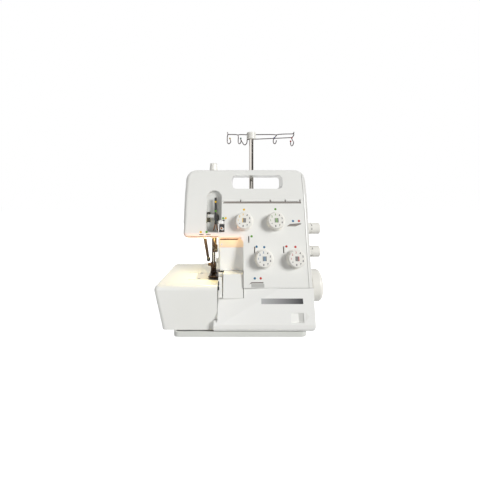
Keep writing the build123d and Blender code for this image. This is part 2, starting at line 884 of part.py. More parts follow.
def feed_dog(teeth, inner, outer_x):
    """Toothed block on a bar that slides to and fro in the bed arm."""
    z = feed_bar_bottom + feed_bar_height
    bar = block((inner, outer_x), (teeth[0], feed_bar_back), (feed_bar_bottom, z))
    head = block((feed_left, feed_right), teeth, (z + rest_gap, feed_top))
    neck = block((inner, outer_x), teeth, (z - room, z + room))
    for x in (-1, 0, 1):
        middle = (feed_left + feed_right) / 2 + x * 3.0
        head -= block((middle - 0.8, middle + 0.8), (teeth[0] - room, teeth[1] + room), (feed_top - 1.2, far))
    steps = int((teeth[1] - teeth[0]) / 2.0)
    for step in range(steps):
        y = teeth[0] + 1.0 + 2.0 * step
        head -= block((feed_left - room, feed_right + room), (y - 0.4, y + 0.4), (feed_top - 0.8, far))
    return bar + neck + head


def bed_cover():
    """White skin over the bed arm behind the needle plate, with a skirt down to the base."""
    y = (plate_back + seam_gap / 2, cloth_plate_back)
    top = block((bed_split_x, bed_right), y, (bed_seat, bed_height))
    skirt_y = (cloth_plate_back - wall, cloth_plate_back)
    return top + block((bed_split_x, column_left - seam_gap), skirt_y, (base_top + seam_gap, bed_height))


def lower_knife():
    """Fixed trimming blade beside the needle plate."""
    return slab_x(
        [
            (plate_front + frame_wall, bed_height - 16.0),
            (plate_front + frame_wall, bed_height),
            (plate_front + frame_wall + 14.0, bed_height),
            (plate_front + frame_wall + 9.0, bed_height - 16.0),
        ],
        (bed_right + 2.0, knife_x - rest_gap),
    )


def upper_knife():
    """Moving blade on its arm, turning on a pin in the frame."""
    tip_y = knife_pivot_y - knife_reach
    arm = bar_x((knife_x, knife_x + 2 * knife_thickness), knife_pivot_y, knife_pivot_z, 2 * knife_pin_radius)
    bar_height = (knife_pivot_z - 5.0, knife_pivot_z + 4.0)
    arm += block((knife_x, knife_x + knife_thickness), (tip_y, knife_pivot_y), bar_height)
    arm += slab_x(
        [
            (tip_y, knife_pivot_z - 5.0),
            (tip_y, bed_height + 3.0),
            (tip_y + 12.0, bed_height + 6.0),
            (tip_y + 12.0, knife_pivot_z),
        ],
        (knife_x, knife_x + knife_thickness),
    )
    return arm - bar_x((-far, far), knife_pivot_y, knife_pivot_z, knife_pin_radius + running_fit)


def looper(x, z, y, points):
    """Hooked arm with a hub that turns on its pin."""
    span = (y - looper_thickness / 2, y + looper_thickness / 2)
    shape = bar_y(x, (span[0], span[1] + looper_thickness), z, looper_pin_radius + 3.0)
    shape += slab_y([(x + across, z + up) for across, up in points], span)
    return shape - bar_y(x, (-far, far), z, looper_pin_radius + running_fit)


def lower_looper():
    """Looper that passes under the needle plate."""
    stem = [(-3.0, 0.0), (4.0, 0.0), (2.0, 40.0)]
    hook = stem + [(-4.0, 47.0), (-20.0, 45.5), (-20.5, 44.0), (-6.0, 42.0), (-4.0, 38.0)]
    return looper(lower_looper_x, lower_looper_z, lower_looper_y, hook)


def upper_looper():
    """Looper that rises beside the needle plate."""
    stem = [(-4.0, 0.0), (3.0, 0.0), (-10.0, 30.0)]
    hook = stem + [(-20.0, 42.0), (-28.0, 46.0), (-28.5, 44.5), (-20.0, 37.0), (-13.0, 26.0)]
    return looper(upper_looper_x, upper_looper_z, upper_looper_y, hook)


# Frame casting


def frame_plate():
    """Upright plate behind the needle bar, L-shaped: column below, arm above."""
    y = (frame_plate_front, frame_plate_front + frame_wall)
    plate = block((column_left + 2 * wall, frame_right), y, (tray_floor, arm_frame_bottom + frame_wall))
    return plate + block((arm_frame_left, frame_right), y, (arm_frame_bottom, arm_frame_top))


def frame_walls():
    """Floor, bearing walls, column back and the hollow of the arm."""
    floor_top = tray_floor + frame_wall
    floor = block((bed_split_x + 2.0, frame_right), (plate_front - 4.5, frame_back), (tray_floor, floor_top))
    right_x = (frame_right - frame_wall, frame_right)
    right_wall = block(right_x, (main_shaft_y - 15.0, frame_back), (tray_floor, arm_frame_top))
    knob_z = (min(knob_heights.values()) - 19.0, max(knob_heights.values()) + 13.0)
    right_wall += block(right_x, (knob_y - 9.0, frame_plate_front), knob_z)
    rib_y = (main_shaft_y - 15.0, frame_plate_front)
    left_rib = block((rib_x, rib_x + frame_wall), rib_y, (tray_floor, main_shaft_z + 15.0))
    column_back = block((60.0, frame_right), (frame_back - frame_wall, frame_back), (95.0, arm_frame_top))
    shape = floor + right_wall + left_rib + column_back
    depth = (frame_plate_front, frame_back)
    shape += block((arm_frame_left, frame_right), depth, (arm_frame_bottom, arm_frame_bottom + frame_wall))
    shape += block((arm_frame_left, frame_right), depth, (arm_frame_top - frame_wall, arm_frame_top))
    shape += block((arm_frame_left, arm_frame_left + frame_wall), depth, (arm_frame_bottom, arm_frame_top))
    return shape


def bed_arm():
    """Cantilever that carries the needle plate, bed cover and feed bars."""
    x = (bed_split_x + 2.0, bed_right + 3.0)
    arm = block(x, (plate_back - frame_wall, frame_back), (bed_arm_bottom, bed_seat))
    leg_y = (plate_back - frame_wall, frame_back)
    arm += block((x[1] - frame_wall, x[1]), leg_y, (tray_floor, bed_arm_bottom + room))
    web_y = (frame_plate_front, frame_plate_front + frame_wall)
    arm += block((x[1] - room, column_left + 3 * wall), web_y, (tray_floor, bed_seat))
    arm += block((x[0], x[0] + 2 * frame_wall), (plate_front + 1.5, plate_back), (bed_seat - 16.0, bed_seat))
    lip_y = (plate_front + 1.5, plate_front + frame_wall)
    arm += block((x[0], x[1] + room), lip_y, (bed_seat - 16.0, bed_seat))
    channel_x = (feed_left - rest_gap, feed_right + rest_gap)
    channel_y = (plate_back - frame_wall - room, feed_bar_back + feed_stroke + room)
    arm -= block(channel_x, channel_y, (feed_bar_bottom - rest_gap, far))
    return arm


def guide_boss(bottom, height, front_edge):
    """Boss on the arm plate around the needle bar and presser bar."""
    x = (presser_x - boss_half_width, presser_x + boss_half_width)
    return block(x, (front_edge, frame_plate_front + room), (bottom, bottom + height))


def frame():
    """Die-cast frame with its bearing seats."""
    shape = frame_plate() + frame_walls() + bed_arm()
    shape += guide_boss(lower_boss, boss_height, needle_y - 8.0)
    shape += guide_boss(upper_boss, boss_height, needle_y - 8.0)
    shape += guide_boss(pressure_boss, boss_height, presser_y - 9.0)
    spine_x = (presser_x - boss_half_width, presser_x + boss_half_width)
    spine_z = (arm_frame_top - room, pressure_boss + boss_height)
    shape += block(spine_x, (frame_plate_front, frame_plate_front + frame_wall), spine_z)
    for x, z in rear_screw_spots:
        shape += bar_y(x, (frame_back - frame_wall, housing_back - wall - rest_gap), z, rear_post_radius)
    knife_lug_x = (knife_x + 2 * knife_thickness + rest_gap, knife_x + 2 * knife_thickness + 7.0)
    shape += block(knife_lug_x, (knife_pivot_y - 5.0, frame_plate_front + room), about(knife_pivot_z, 5.0))
    shape += bar_x((knife_x, knife_lug_x[1]), knife_pivot_y, knife_pivot_z, knife_pin_radius)
    for x, z, y in (
        (lower_looper_x, lower_looper_z, lower_looper_y),
        (upper_looper_x, upper_looper_z, upper_looper_y),
    ):
        collar_front = y + looper_thickness * 1.5 + rest_gap
        shape += bar_y(x, (y - looper_thickness / 2, frame_plate_front + room), z, looper_pin_radius)
        shape += bar_y(x, (collar_front, frame_plate_front + room), z, looper_pin_radius + 2.0)
    take_up_lug_x = (take_up_x - 11.0, take_up_x - rest_gap)
    shape += block(take_up_lug_x, (take_up_y - 5.0, frame_plate_front + room), about(take_up_z, 5.0))
    shape += bar_x((take_up_lug_x[0], take_up_x + take_up_hub), take_up_y, take_up_z, take_up_pin_radius)
    shape += bar_y(lifter_x, (lifter_y[0], frame_plate_front + room), lifter_z, lifter_pin_radius)
    shape += motor_saddle()
    return shape - frame_bores()


def frame_bores():
    """All holes in the casting, taken from the pieces that run or sit in them."""
    right_end = frame_right + room
    bores = bar_x((rib_x - room, right_end), main_shaft_y, main_shaft_z, main_shaft_radius + bush_wall)
    bores += bar_x((arm_frame_left - room, right_end), arm_shaft_y, arm_shaft_z, arm_shaft_radius + bush_wall)
    for bottom in (lower_boss, upper_boss):
        z = (bottom - room, bottom + boss_height + room)
        bores += bar_z(needle_x, needle_y, z, needle_bar_radius + bush_wall)
        bores += bar_z(presser_x, presser_y, z, presser_bar_radius + bush_wall)
    z = (pressure_boss - room, pressure_boss + boss_height + room)
    bores += bar_z(presser_x, presser_y, z, pressure_screw_radius + running_fit)
    bores += bar_x((frame_right - 2 * frame_wall, far), motor_y, motor_z, motor_shaft_radius + 4.0)
    for z in knob_heights.values():
        bores += bar_x((frame_right - 2 * frame_wall, far), knob_y, z, knob_stem_radius + running_fit)
    window_y = (frame_plate_front - room, frame_plate_front + frame_wall + room)
    bores += block((lever_x - 3.0, lever_x + lever_thickness + 3.0), window_y, about(arm_shaft_z, 22.0))
    rod_drop = rod_lever * sin(radians(2 * lever_half_swing))
    rod_window_z = (rod_bottom - rod_drop - 2 * room, arm_shaft_z + 18.0)
    bores += block((rod_x - 8.0, rod_x + rod_thickness + 4.0), window_y, rod_window_z)
    bores += block((rod_x - 8.0, rod_x + rod_thickness + 4.0), (frame_plate_front - room, arm_shaft_y - 12.0),
                   (arm_frame_bottom - room, arm_frame_bottom + frame_wall + room))
    for place in rear_screws:
        bores += screw_hole(place, rear_screw_length)
    for place in plate_screws:
        bores += screw_hole(place, plate_screw_length)
    return bores


# Drive


def main_shaft():
    """Lower shaft with its balance disc and the crank that drives the arm."""
    shaft = bar_x((rib_x - frame_wall, right - 8.0), main_shaft_y, main_shaft_z, main_shaft_radius)
    disc = bar_x((rib_x - frame_wall, rib_x - rest_gap), main_shaft_y, main_shaft_z, 15.0)
    disc -= block((-far, far), (main_shaft_y + 4.0, far), (main_shaft_z + 2.0, far))
    crank = bar_x((rod_x, rod_x + rod_thickness), main_shaft_y, main_shaft_z + 5.0, 12.0)
    return shaft + disc + crank


def handwheel():
    """Hand wheel outside the cover, with a hollow face and a finger-grip rim."""
    x = (right - handwheel_width, right)
    wheel = bar_x(x, main_shaft_y, main_shaft_z, handwheel_radius)
    wheel = fillet(wheel.edges().group_by(Axis.X)[-1], 8.0)
    wheel = fillet(wheel.edges().group_by(Axis.X)[0], 3.0)
    dish = bar_x((right - 5.0, right + room), main_shaft_y, main_shaft_z, handwheel_radius - 13.0)
    groove_x = (x[0] + 5.0, x[0] + 6.2)
    groove = ring_x(groove_x, main_shaft_y, main_shaft_z, handwheel_radius + room, handwheel_radius - room)
    wheel = wheel - dish - groove
    return wheel - bar_x((-far, right - 8.0 + rest_gap), main_shaft_y, main_shaft_z, main_shaft_radius)


pulley_x = (frame_right + 2.0, frame_right + 11.0)
belt_x = ((pulley_x[0] + pulley_x[1] - belt_width) / 2, (pulley_x[0] + pulley_x[1] + belt_width) / 2)


def grooved_pulley(y, z, radius, bore):
    """Flanged belt pulley; the belt runs on the given radius."""
    wheel = bar_x(pulley_x, y, z, radius + belt_thickness)
    groove = (belt_x[0] - 0.5, belt_x[1] + 0.5)
    wheel -= ring_x(groove, y, z, radius + 3 * belt_thickness, radius - 0.3)
    return wheel - bar_x((-far, far), y, z, bore)


def main_pulley():
    """Large pulley on the lower shaft."""
    return grooved_pulley(main_shaft_y, main_shaft_z, main_pulley_radius, main_shaft_radius)


def motor_pulley():
    """Small pulley with the motor's shaft end."""
    wheel = grooved_pulley(motor_y, motor_z, motor_pulley_radius, motor_shaft_radius)
    return wheel + bar_x((motor_right + rest_gap, pulley_x[1]), motor_y, motor_z, motor_shaft_radius)


def motor():
    """Mains motor with its end bell."""
    body = bar_x((motor_right - motor_length, motor_right), motor_y, motor_z, motor_radius)
    body = fillet(body.edges(), 4.0)
    for step in range(-2, 3):
        x = motor_right - motor_length / 2 + 7.0 * step
        body -= block(about(x, 1.2), about(motor_y, 12.0), (motor_z + motor_radius - 4.0, far))
    return body


def motor_saddle():
    """Saddle on the frame floor that holds the motor."""
    x = (motor_right - motor_length + 12.0, motor_right - 12.0)
    y = (motor_y - motor_radius + 4.0, motor_y + motor_radius - 4.0)
    saddle = block(x, y, (tray_floor + frame_wall - room, motor_z - 12.0))
    return saddle - bar_x((-far, far), motor_y, motor_z, motor_radius)


def drive_belt():
    """Flat toothless belt around both pulleys, as one closed band."""
    across = motor_y - main_shaft_y
    down = motor_z - main_shaft_z
    distance = sqrt(across ** 2 + down ** 2)

    def band(grow):
        big = main_pulley_radius + grow
        small = motor_pulley_radius + grow
        drop = (big - small) / distance
        rise = sqrt(1 - drop ** 2)
        points = [(big * drop, big * rise), (distance + small * drop, small * rise)]
        points += [(distance + small * drop, -small * rise), (big * drop, -big * rise)]
        shape = make_face(Polyline(*points, close=True)) + Circle(big) + Pos(distance, 0) * Circle(small)
        return shape

    loop = band(belt_thickness) - band(0)
    along = Plane(
        origin=(belt_x[0], main_shaft_y, main_shaft_z),
        x_dir=(0, across / distance, down / distance),
        z_dir=(1, 0, 0),
    )
    return extrude(along * loop, amount=belt_width)


def shaft_bushes():
    """Bronze bushes for both shafts, the needle bar and the presser bar."""
    bushes = []
    for x in (rib_x, frame_right - frame_wall):
        bushes.append(ring_x((x, x + frame_wall), main_shaft_y, main_shaft_z, main_shaft_radius + bush_wall,
                             main_shaft_radius + running_fit))
    for x in (arm_frame_left, frame_right - frame_wall):
        bushes.append(ring_x((x, x + frame_wall), arm_shaft_y, arm_shaft_z, arm_shaft_radius + bush_wall,
                             arm_shaft_radius + running_fit))
    for bottom in (lower_boss, upper_boss):
        z = (bottom, bottom + boss_height)
        for x, y, radius in guided_bars:
            bushes.append(ring_z(x, y, z, radius + bush_wall, radius + running_fit))
    return Compound(bushes)


def arm_shaft():
    """Rocking shaft in the arm with the needle bar lever and the rod lever clamped on it."""
    shape = bar_x((arm_frame_left, frame_right), arm_shaft_y, arm_shaft_z, arm_shaft_radius)
    collar_x = (lever_x - 2.0, lever_x + lever_thickness + 2.0)
    shape += bar_x(collar_x, arm_shaft_y, arm_shaft_z, arm_shaft_radius + 5.0)
    reach = needle_reach + 7.0
    lever_y = (arm_shaft_y - reach, arm_shaft_y)
    lever = block((lever_x, lever_x + lever_thickness), lever_y, about(arm_shaft_z, 6.0))
    slot_half = lever_pin_radius + 0.7
    lever -= block((-far, far), (-far, arm_shaft_y - needle_reach + 10.0), about(arm_shaft_z, slot_half))
    raised = Pos(0, arm_shaft_y, arm_shaft_z) * Rot(-lever_half_swing, 0, 0)
    shape += raised * Pos(0, -arm_shaft_y, -arm_shaft_z) * lever
    shape += bar_x((rod_x - 5.0, rod_x - rest_gap), arm_shaft_y, arm_shaft_z, arm_shaft_radius + 5.0)
    arm_y = (arm_shaft_y - rod_lever, arm_shaft_y)
    arm = block((rod_x - 5.0, rod_x - rest_gap), arm_y, about(arm_shaft_z, 5.0))
    arm += bar_x((rod_x - 5.0, rod_x + rod_thickness), arm_shaft_y - rod_lever, arm_shaft_z, rod_pin_radius)
    return shape + arm


def connecting_rod():
    """Rod that hangs from the arm shaft's lever down towards the crank."""
    x = (rod_x, rod_x + rod_thickness)
    y = arm_shaft_y - rod_lever
    rod = bar_x(x, y, arm_shaft_z, rod_pin_radius + 3.5)
    rod += block(x, (y - 4.0, y + 4.0), (rod_bottom, arm_shaft_z))
    return rod - bar_x((-far, far), y, arm_shaft_z, rod_pin_radius + running_fit)


# Needle bar and presser bar
collar_z = arm_shaft_z + needle_stroke / 2


def needle_bar():
    """Needle bar with the collar and stud that the arm lever drives."""
    bar = bar_z(needle_x, needle_y, (needle_bar_bottom, needle_bar_top), needle_bar_radius)
    collar = bar_z(needle_x, needle_y, (collar_z - 5.0, collar_z + 5.0), needle_bar_radius + 2.5)
    stud = bar_x((needle_x, lever_x + lever_thickness + room), needle_y, collar_z, lever_pin_radius)
    return bar + collar + stud


def needle_clamp():
    """Clamp block at the foot of the needle bar, with its two set screws."""
    z = (needle_bar_bottom - 6.0, needle_bar_bottom + 8.0)
    clamp = block((needle_x - 5.5, needle_x + 5.5), (needle_y - 5.0, needle_y + 5.0), z)
    clamp = fillet(clamp.edges().filter_by(Axis.Z), 2.5)
    for offset in (-needle_spacing / 2, needle_spacing / 2):
        clamp += bar_y(needle_x + offset, (needle_y - 8.0, needle_y), z[0] + 3.5, 1.7)
        clamp -= bar_z(needle_x + offset, needle_y, (z[0] - room, needle_bar_bottom), needle_radius)
    return clamp - bar_z(needle_x, needle_y, (needle_bar_bottom, far), needle_bar_radius)


def needles():
    """Two needles side by side."""
    pair = []
    for offset in (-needle_spacing / 2, needle_spacing / 2):
        tip = Pos(needle_x + offset, needle_y, needle_tip + 3.0) * Cone(0.1, needle_radius, 6.0)
        shank_z = (needle_tip + 6.0, needle_bar_bottom)
        pair.append(tip + bar_z(needle_x + offset, needle_y, shank_z, needle_radius))
    return Compound(pair)


def take_up_lever():
    """Black take-up lever behind the slot, turning on a pin in the frame."""
    face_y = front_y(take_up_z) + wall + 8.0
    hub = bar_x((take_up_x, take_up_x + take_up_hub), take_up_y, take_up_z, take_up_pin_radius + 3.0)
    arm_x = (take_up_x + room, take_up_x + take_up_hub - room / 2)
    arm = block(arm_x, (face_y, take_up_y), about(take_up_z, 3.0))
    bridge = block((arm_x[0], take_up_face[1]), (face_y, face_y + wall), about(take_up_z, 3.0))
    face = block(take_up_face, (face_y, face_y + wall), (take_up_z - 16.0, take_up_z + 35.0))
    lever = hub + arm + bridge + face
    return lever - bar_x((-far, far), take_up_y, take_up_z, take_up_pin_radius + running_fit)


def presser_bar():
    """Presser bar with the foot holder at its lower end."""
    holder_top = ankle_height + 14.0
    bar = bar_z(presser_x, presser_y, (holder_top - room, presser_bar_top), presser_bar_radius)
    holder = block(about(presser_x, 5.5), about(presser_y, 5.0), (ankle_height + 4.5, holder_top))
    tongue_z = (ankle_height - 3.0, ankle_height + 5.0)
    tongue = block(about(presser_x, tongue_half), about(presser_y, 3.5), tongue_z)
    screw_knob = bar_x((presser_x - 11.0, presser_x), presser_y, ankle_height + 9.5, 3.2)
    shape = bar + holder + tongue + screw_knob
    return shape - bar_x((-far, far), presser_y, ankle_height, ankle_pin_radius + running_fit)


def presser_foot():
    """Foot sole with a needle slot, upturned toe and two ears on the ankle pin."""
    heel = presser_y + 9.0
    bottom = bed_height + 0.4
    toe = heel - foot_length
    sole = slab_x(
        [
            (toe, bottom + 4.0),
            (toe + 10.0, bottom),
            (presser_y, bottom),
            (heel, bottom + 2.2),
            (heel, bottom + foot_thickness + 1.0),
            (toe + 12.0, bottom + foot_thickness),
            (toe, bottom + 6.0),
        ],
        (presser_x - 6.0, presser_x - 6.0 + foot_width),
    )
    half = needle_spacing / 2 + 2.0
    sole -= block((needle_x - half, needle_x + half), (needle_y - 6.0, needle_y + 4.0), (0, far))
    for side in (-1, 1):
        near = presser_x + side * (tongue_half + rest_gap)
        away = presser_x + side * (tongue_half + rest_gap + 2.5)
        span = (min(near, away), max(near, away))
        ear = block(span, (presser_y - 3.0, presser_y + 3.0), (bottom + 1.5, ankle_height))
        sole += ear + bar_x(span, presser_y, ankle_height, 3.0)
    reach = tongue_half + rest_gap + 2.5
    return sole + bar_x((presser_x - reach, presser_x + reach), presser_y, ankle_height, ankle_pin_radius)


def presser_lifter():
    """Lever under the arm that raises the presser bar."""
    hub = bar_y(lifter_x, lifter_y, lifter_z, lifter_pin_radius + 3.0)
    blade = slab_y(
        [(-3.5, 0.0), (3.5, 0.0), (lifter_lean + 2.5, -lifter_length), (lifter_lean - 2.5, -lifter_length)],
        (lifter_y[0] + 2.0, lifter_y[1] - 2.0),
    )
    shape = hub + Pos(lifter_x, 0, lifter_z) * blade
    return shape - bar_y(lifter_x, (-far, far), lifter_z, lifter_pin_radius + running_fit)


def presser_spring():
    """Spring between the presser bar and the pressure screw."""
    height = pressure_boss - presser_bar_top - 2 * rest_gap
    return Pos(presser_x, presser_y, presser_bar_top + rest_gap) * coil(
        presser_bar_radius - spring_wire / 2, spring_wire, height, spring_turns
    )


def pressure_knob():
    """Foot pressure knob on its screw through the top of the arm."""
    screw_body = bar_z(presser_x, presser_y, (pressure_boss, housing_top + room), pressure_screw_radius)
    knob = Pos(presser_x, presser_y, housing_top + rest_gap + pressure_knob_height / 2) * Cone(
        pressure_knob_radius, pressure_knob_radius - 1.0, pressure_knob_height
    )
    knob = fillet(knob.edges().group_by(Axis.Z)[-1], 2.0)
    return screw_body + knob


# Thread tension


def tension_bracket():
    """Sheet bracket behind the panel with its four studs and two posts to the frame."""
    upper = dial_seat("left_needle").position
    lower = dial_seat("upper_looper").position
    margin = 16.0
    place = on_panel(0, (upper.Z + lower.Z) / 2, -tension_depth)
    rise = (upper.Z - lower.Z) / cos(radians(lean_angle)) / 2 + margin
    x = (dials["left_needle"][0] - margin, frame_right - frame_wall - room)
    sheet = Pos((x[0] + x[1]) / 2, 0, -1.0) * Box(x[1] - x[0], 2 * rise, 2.0)
    clear = wall + 2 * room
    shape = place * sheet - block((-far, recess_right + clear), (-far, far), (0, arm_underside + clear))
    behind = place * Pos(0, 0, -far / 2 - 1.0) * Box(2 * far, 2 * far, far)
    middle_z = (upper.Z + lower.Z) / 2
    for post_x in (20.0, 80.0):
        post = bar_y(post_x, (front_y(middle_z), frame_plate_front), middle_z, 4.0)
        shape += post & behind
    for name in dials:
        length = tension_depth + dial_height - 3.0
        middle = Pos(0, 0, length / 2 - tension_depth - room)
        shape += dial_seat(name) * middle * Cylinder(dial_stud_radius, length)
    return shape


def tension_discs():
    """Pairs of polished discs that pinch the thread on each stud, and the springs that press them."""
    discs = []
    for name in dials:
        for step in (0, 1):
            disc = Cylinder(10.0, 0.9) - Cylinder(dial_stud_radius + running_fit, 2.0)
            discs.append(dial_seat(name) * Pos(0, 0, -tension_depth + 0.45 + step * 1.2) * disc)
        start = -tension_depth + 2.4
        height = -hub_depth - start - rest_gap
        discs.append(dial_seat(name) * Pos(0, 0, start) * coil(5.2, 1.2, height, 4))
    return Compound(discs)


def tension_dial(name):
    """Turned dial with a skirt, and the hub that reaches through the panel to the spring."""
    skirt = Pos(0, 0, 2.2) * Cylinder(dial_skirt_radius, 3.4)
    skirt = fillet(skirt.edges().group_by(Axis.Z)[-1], 1.0)
    knob = Pos(0, 0, (dial_height + 2.0) / 2) * Cone(dial_radius + 0.8, dial_radius, dial_height - 2.0)
    knob = fillet(knob.edges().group_by(Axis.Z)[-1], 2.0)
    hub = Pos(0, 0, (1.0 - hub_depth) / 2) * Cylinder(dial_stud_radius + 1.6 * wall, hub_depth + 1.0)
    bore_length = hub_depth + dial_height - 2.5
    middle = Pos(0, 0, bore_length / 2 - hub_depth - 0.01)
    bore = middle * Cylinder(dial_stud_radius + running_fit, bore_length)
    return dial_seat(name) * (skirt + knob + hub - bore)


# Side knobs


def side_knob(z):
    """Setting knob on a stem that turns in the frame's right wall."""
    x = (housing_right + rest_gap, housing_right + rest_gap + knob_length)
    knob = bar_x(x, knob_y, z, knob_radius)
    knob = fillet(knob.edges().group_by(Axis.X)[-1], 2.0)
    return knob + bar_x((frame_right - frame_wall, x[0] + room), knob_y, z, knob_stem_radius)


# Lamp


def column_panel():
    """Recessed panel beside the needle, under the lamp."""
    x = (column_left + wall, recess_right)
    return block(x, (recess_y - wall, recess_y), (chute_top + rest_gap, lamp_window_bottom - rest_gap))


def lamp_window():
    """Tilted clear window under the arm."""
    x = (column_left + wall, recess_right)
    rise = arm_underside - lamp_window_bottom - rest_gap
    lean = rise * tan(radians(lamp_tilt))
    low = (recess_y - wall, lamp_window_bottom)
    pane = slab_x(
        [low, (low[0] - lean, low[1] + rise), (low[0] - lean + wall, low[1] + rise), (low[0] + wall, low[1])],
        x,
    )
    return pane - recess_corner(rest_gap)


def lamp_bulb():
    """Small screw-in bulb behind the window."""
    y = (frame_plate_front - 16.0 - bulb_length, frame_plate_front - 16.0)
    glass = bar_y(lamp_x, y, lamp_z, bulb_radius)
    glass = fillet(glass.edges().group_by(Axis.Y)[0], bulb_radius - 0.5)
    return glass + bar_y(lamp_x, (y[1] - room, y[1] + 12.0), lamp_z, bulb_radius - 2.0)


def lamp_socket():
    """Socket on the frame plate that holds the bulb."""
    shape = bar_y(lamp_x, (frame_plate_front - 15.0, frame_plate_front), lamp_z, bulb_radius + 1.5)
    return shape - bar_y(lamp_x, (-far, frame_plate_front - 3.0), lamp_z, bulb_radius - 2.0 + running_fit)


# Trimmings chute and small thread bracket


def chip_guard():
    """Chute cover in front of the knife, standing on the frame's bearing rib."""
    x = (looper_cover_left + 9.0, recess_right - seam_gap)
    z = (chute_bottom + seam_gap, chute_top)
    rib_front = main_shaft_y - 15.0
    face = slab_x(
        [
            (front_y(z[0]) + 2.0, z[0]),
            (front_y(z[1]) + 5.0, z[1]),
            (front_y(z[1]) + 5.0 + wall, z[1]),
            (front_y(z[0]) + 2.0 + wall, z[0]),
        ],
        x,
    )
    side = block((x[1] - wall, x[1]), (front_y(z[0]) + 2.0, rib_front), z)
    ahead = slab_x([(-far, far), (front_y(z[0]) + 2.0, z[0]), (front_y(z[1]) + 5.0, z[1])], (-far, far))
    side -= ahead & side
    tab = block((x[1] - wall, rib_x + frame_wall), (rib_front - wall, rib_front), (z[0], main_shaft_z + 15.0))
    back_y = (front_y(z[1]) + 12.0, front_y(z[1]) + 12.0 + wall)
    back_plate = block((looper_cover_left, x[0] - 1.5), back_y, z)
    strut = block((looper_cover_left, x[1]), back_y, (z[0], z[0] + 5.0))
    lid = block(x, (front_y(z[1]) + 5.0, recess_y), (z[1] - wall, z[1]))
    return face + side + tab + back_plate + strut + lid


def thread_bracket():
    """Small pressed thread guide beside the take-up slot."""
    plate = on_panel(-42.5, 189.6, wall / 4) * Box(11.0, 22.0, wall / 2)
    turn = radians(lean_angle)
    plate = fillet(plate.edges().filter_by(Axis((0, 0, 0), (0, -cos(turn), sin(turn)))), 3.0)
    head = on_panel(-41.0, 184.0, wall / 2 + 0.6) * Cylinder(2.6, 1.2)
    return plate + head


# Thread stand


def spool_stand():
    """Stand behind the machine with a foot on the base and a socket for the tube."""
    plate_z = (stand_height, stand_height + stand_thickness)
    plate = block((stand_left, stand_right), (housing_back + stand_gap, back), plate_z)
    plate = fillet(plate.edges().filter_by(Axis.Z), 12.0)
    leg_y = (housing_back + stand_gap, base_back - wall)
    leg = block(about(tube_x, 30.0), leg_y, (tray_floor, stand_height + room))
    boss = bar_z(tube_x, tube_y, (stand_height, stand_height + 16.0), tube_radius + tube_wall + socket_wall)
    shape = plate + leg + (boss & block((-far, far), (housing_back + 1.0, far), (0, far)))
    shape -= bar_z(tube_x, tube_y, (stand_height - 10.0, far), tube_radius + tube_wall + running_fit)
    for x in spool_x:
        shape -= bar_z(x, pin_row_y, (0, far), pin_root_radius)
    return shape


def spool_pins():
    """Four upright pins pressed into the stand."""
    pins = []
    for x in spool_x:
        pin = bar_z(x, pin_row_y, (stand_height, stand_height + pin_height), pin_radius)
        pin = fillet(pin.edges().group_by(Axis.Z)[-1], pin_radius - 0.8)
        root_z = (stand_height, stand_height + pin_root_height)
        pins.append(pin + bar_z(x, pin_row_y, root_z, pin_root_radius))
    return Compound(pins)


def cone_holders():
    """Four cone seats standing on the pins' feet."""
    seats = []
    base = stand_height + stand_thickness
    for x in spool_x:
        seat = bar_z(x, pin_row_y, (base, base + 3.0), cone_radius)
        seat += Pos(x, pin_row_y, base + 11.0) * Cone(12.0, 7.0, 16.0)
        seats.append(seat - bar_z(x, pin_row_y, (0, far), pin_root_radius + running_fit))
    return Compound(seats)


def lower_tube():
    """Outer tube of the telescopic thread stand."""
    z = (stand_height - 10.0, outer_tube_top)
    return ring_z(tube_x, tube_y, z, tube_radius + tube_wall, tube_radius + running_fit)


def upper_tube():
    """Inner tube that slides up, shown raised."""
    z = (outer_tube_top - tree_overlap, tree_height)
    return ring_z(tube_x, tube_y, z, tube_radius, tube_radius - tube_wall)


def thread_tree():
    """Hub and bent-wire guides on top of the inner tube."""
    hub = bar_z(tube_x, tube_y, (tree_height - 8.0, tree_height + 8.0), 11.5)
    hub = fillet(hub.edges(), 2.0)
    hub -= bar_z(tube_x, tube_y, (0, tree_height), tube_radius)
    wire_z = tree_height + 4.0
    shape = hub
    ends = (tree_ends[0], tree_ends[1])
    for start, stop in ((ends[0], tube_x - 8.0), (tube_x + 8.0, ends[1])):
        shape += bar_x((start, stop), tube_y, wire_z, guide_wire)
    for end in ends:
        shape += Pos(end, tube_y, wire_z) * Sphere(guide_wire)
        shape += bar_z(end, tube_y, (wire_z, wire_z + 4.5), guide_wire)
    for x in guide_x:
        centre = wire_z - guide_drop
        shape += bar_z(x, tube_y, (centre + guide_loop - guide_wire / 2, wire_z), guide_wire)
        eye = CenterArc((0, 0, 0), guide_loop, 90, 315)
        path = Plane(origin=(x, tube_y, centre), x_dir=(1, 0, 0), z_dir=(0, -1, 0)) * eye
        shape += sweep(Plane(origin=path @ 0, z_dir=path % 0) * Circle(guide_wire), path=path)
    return shape


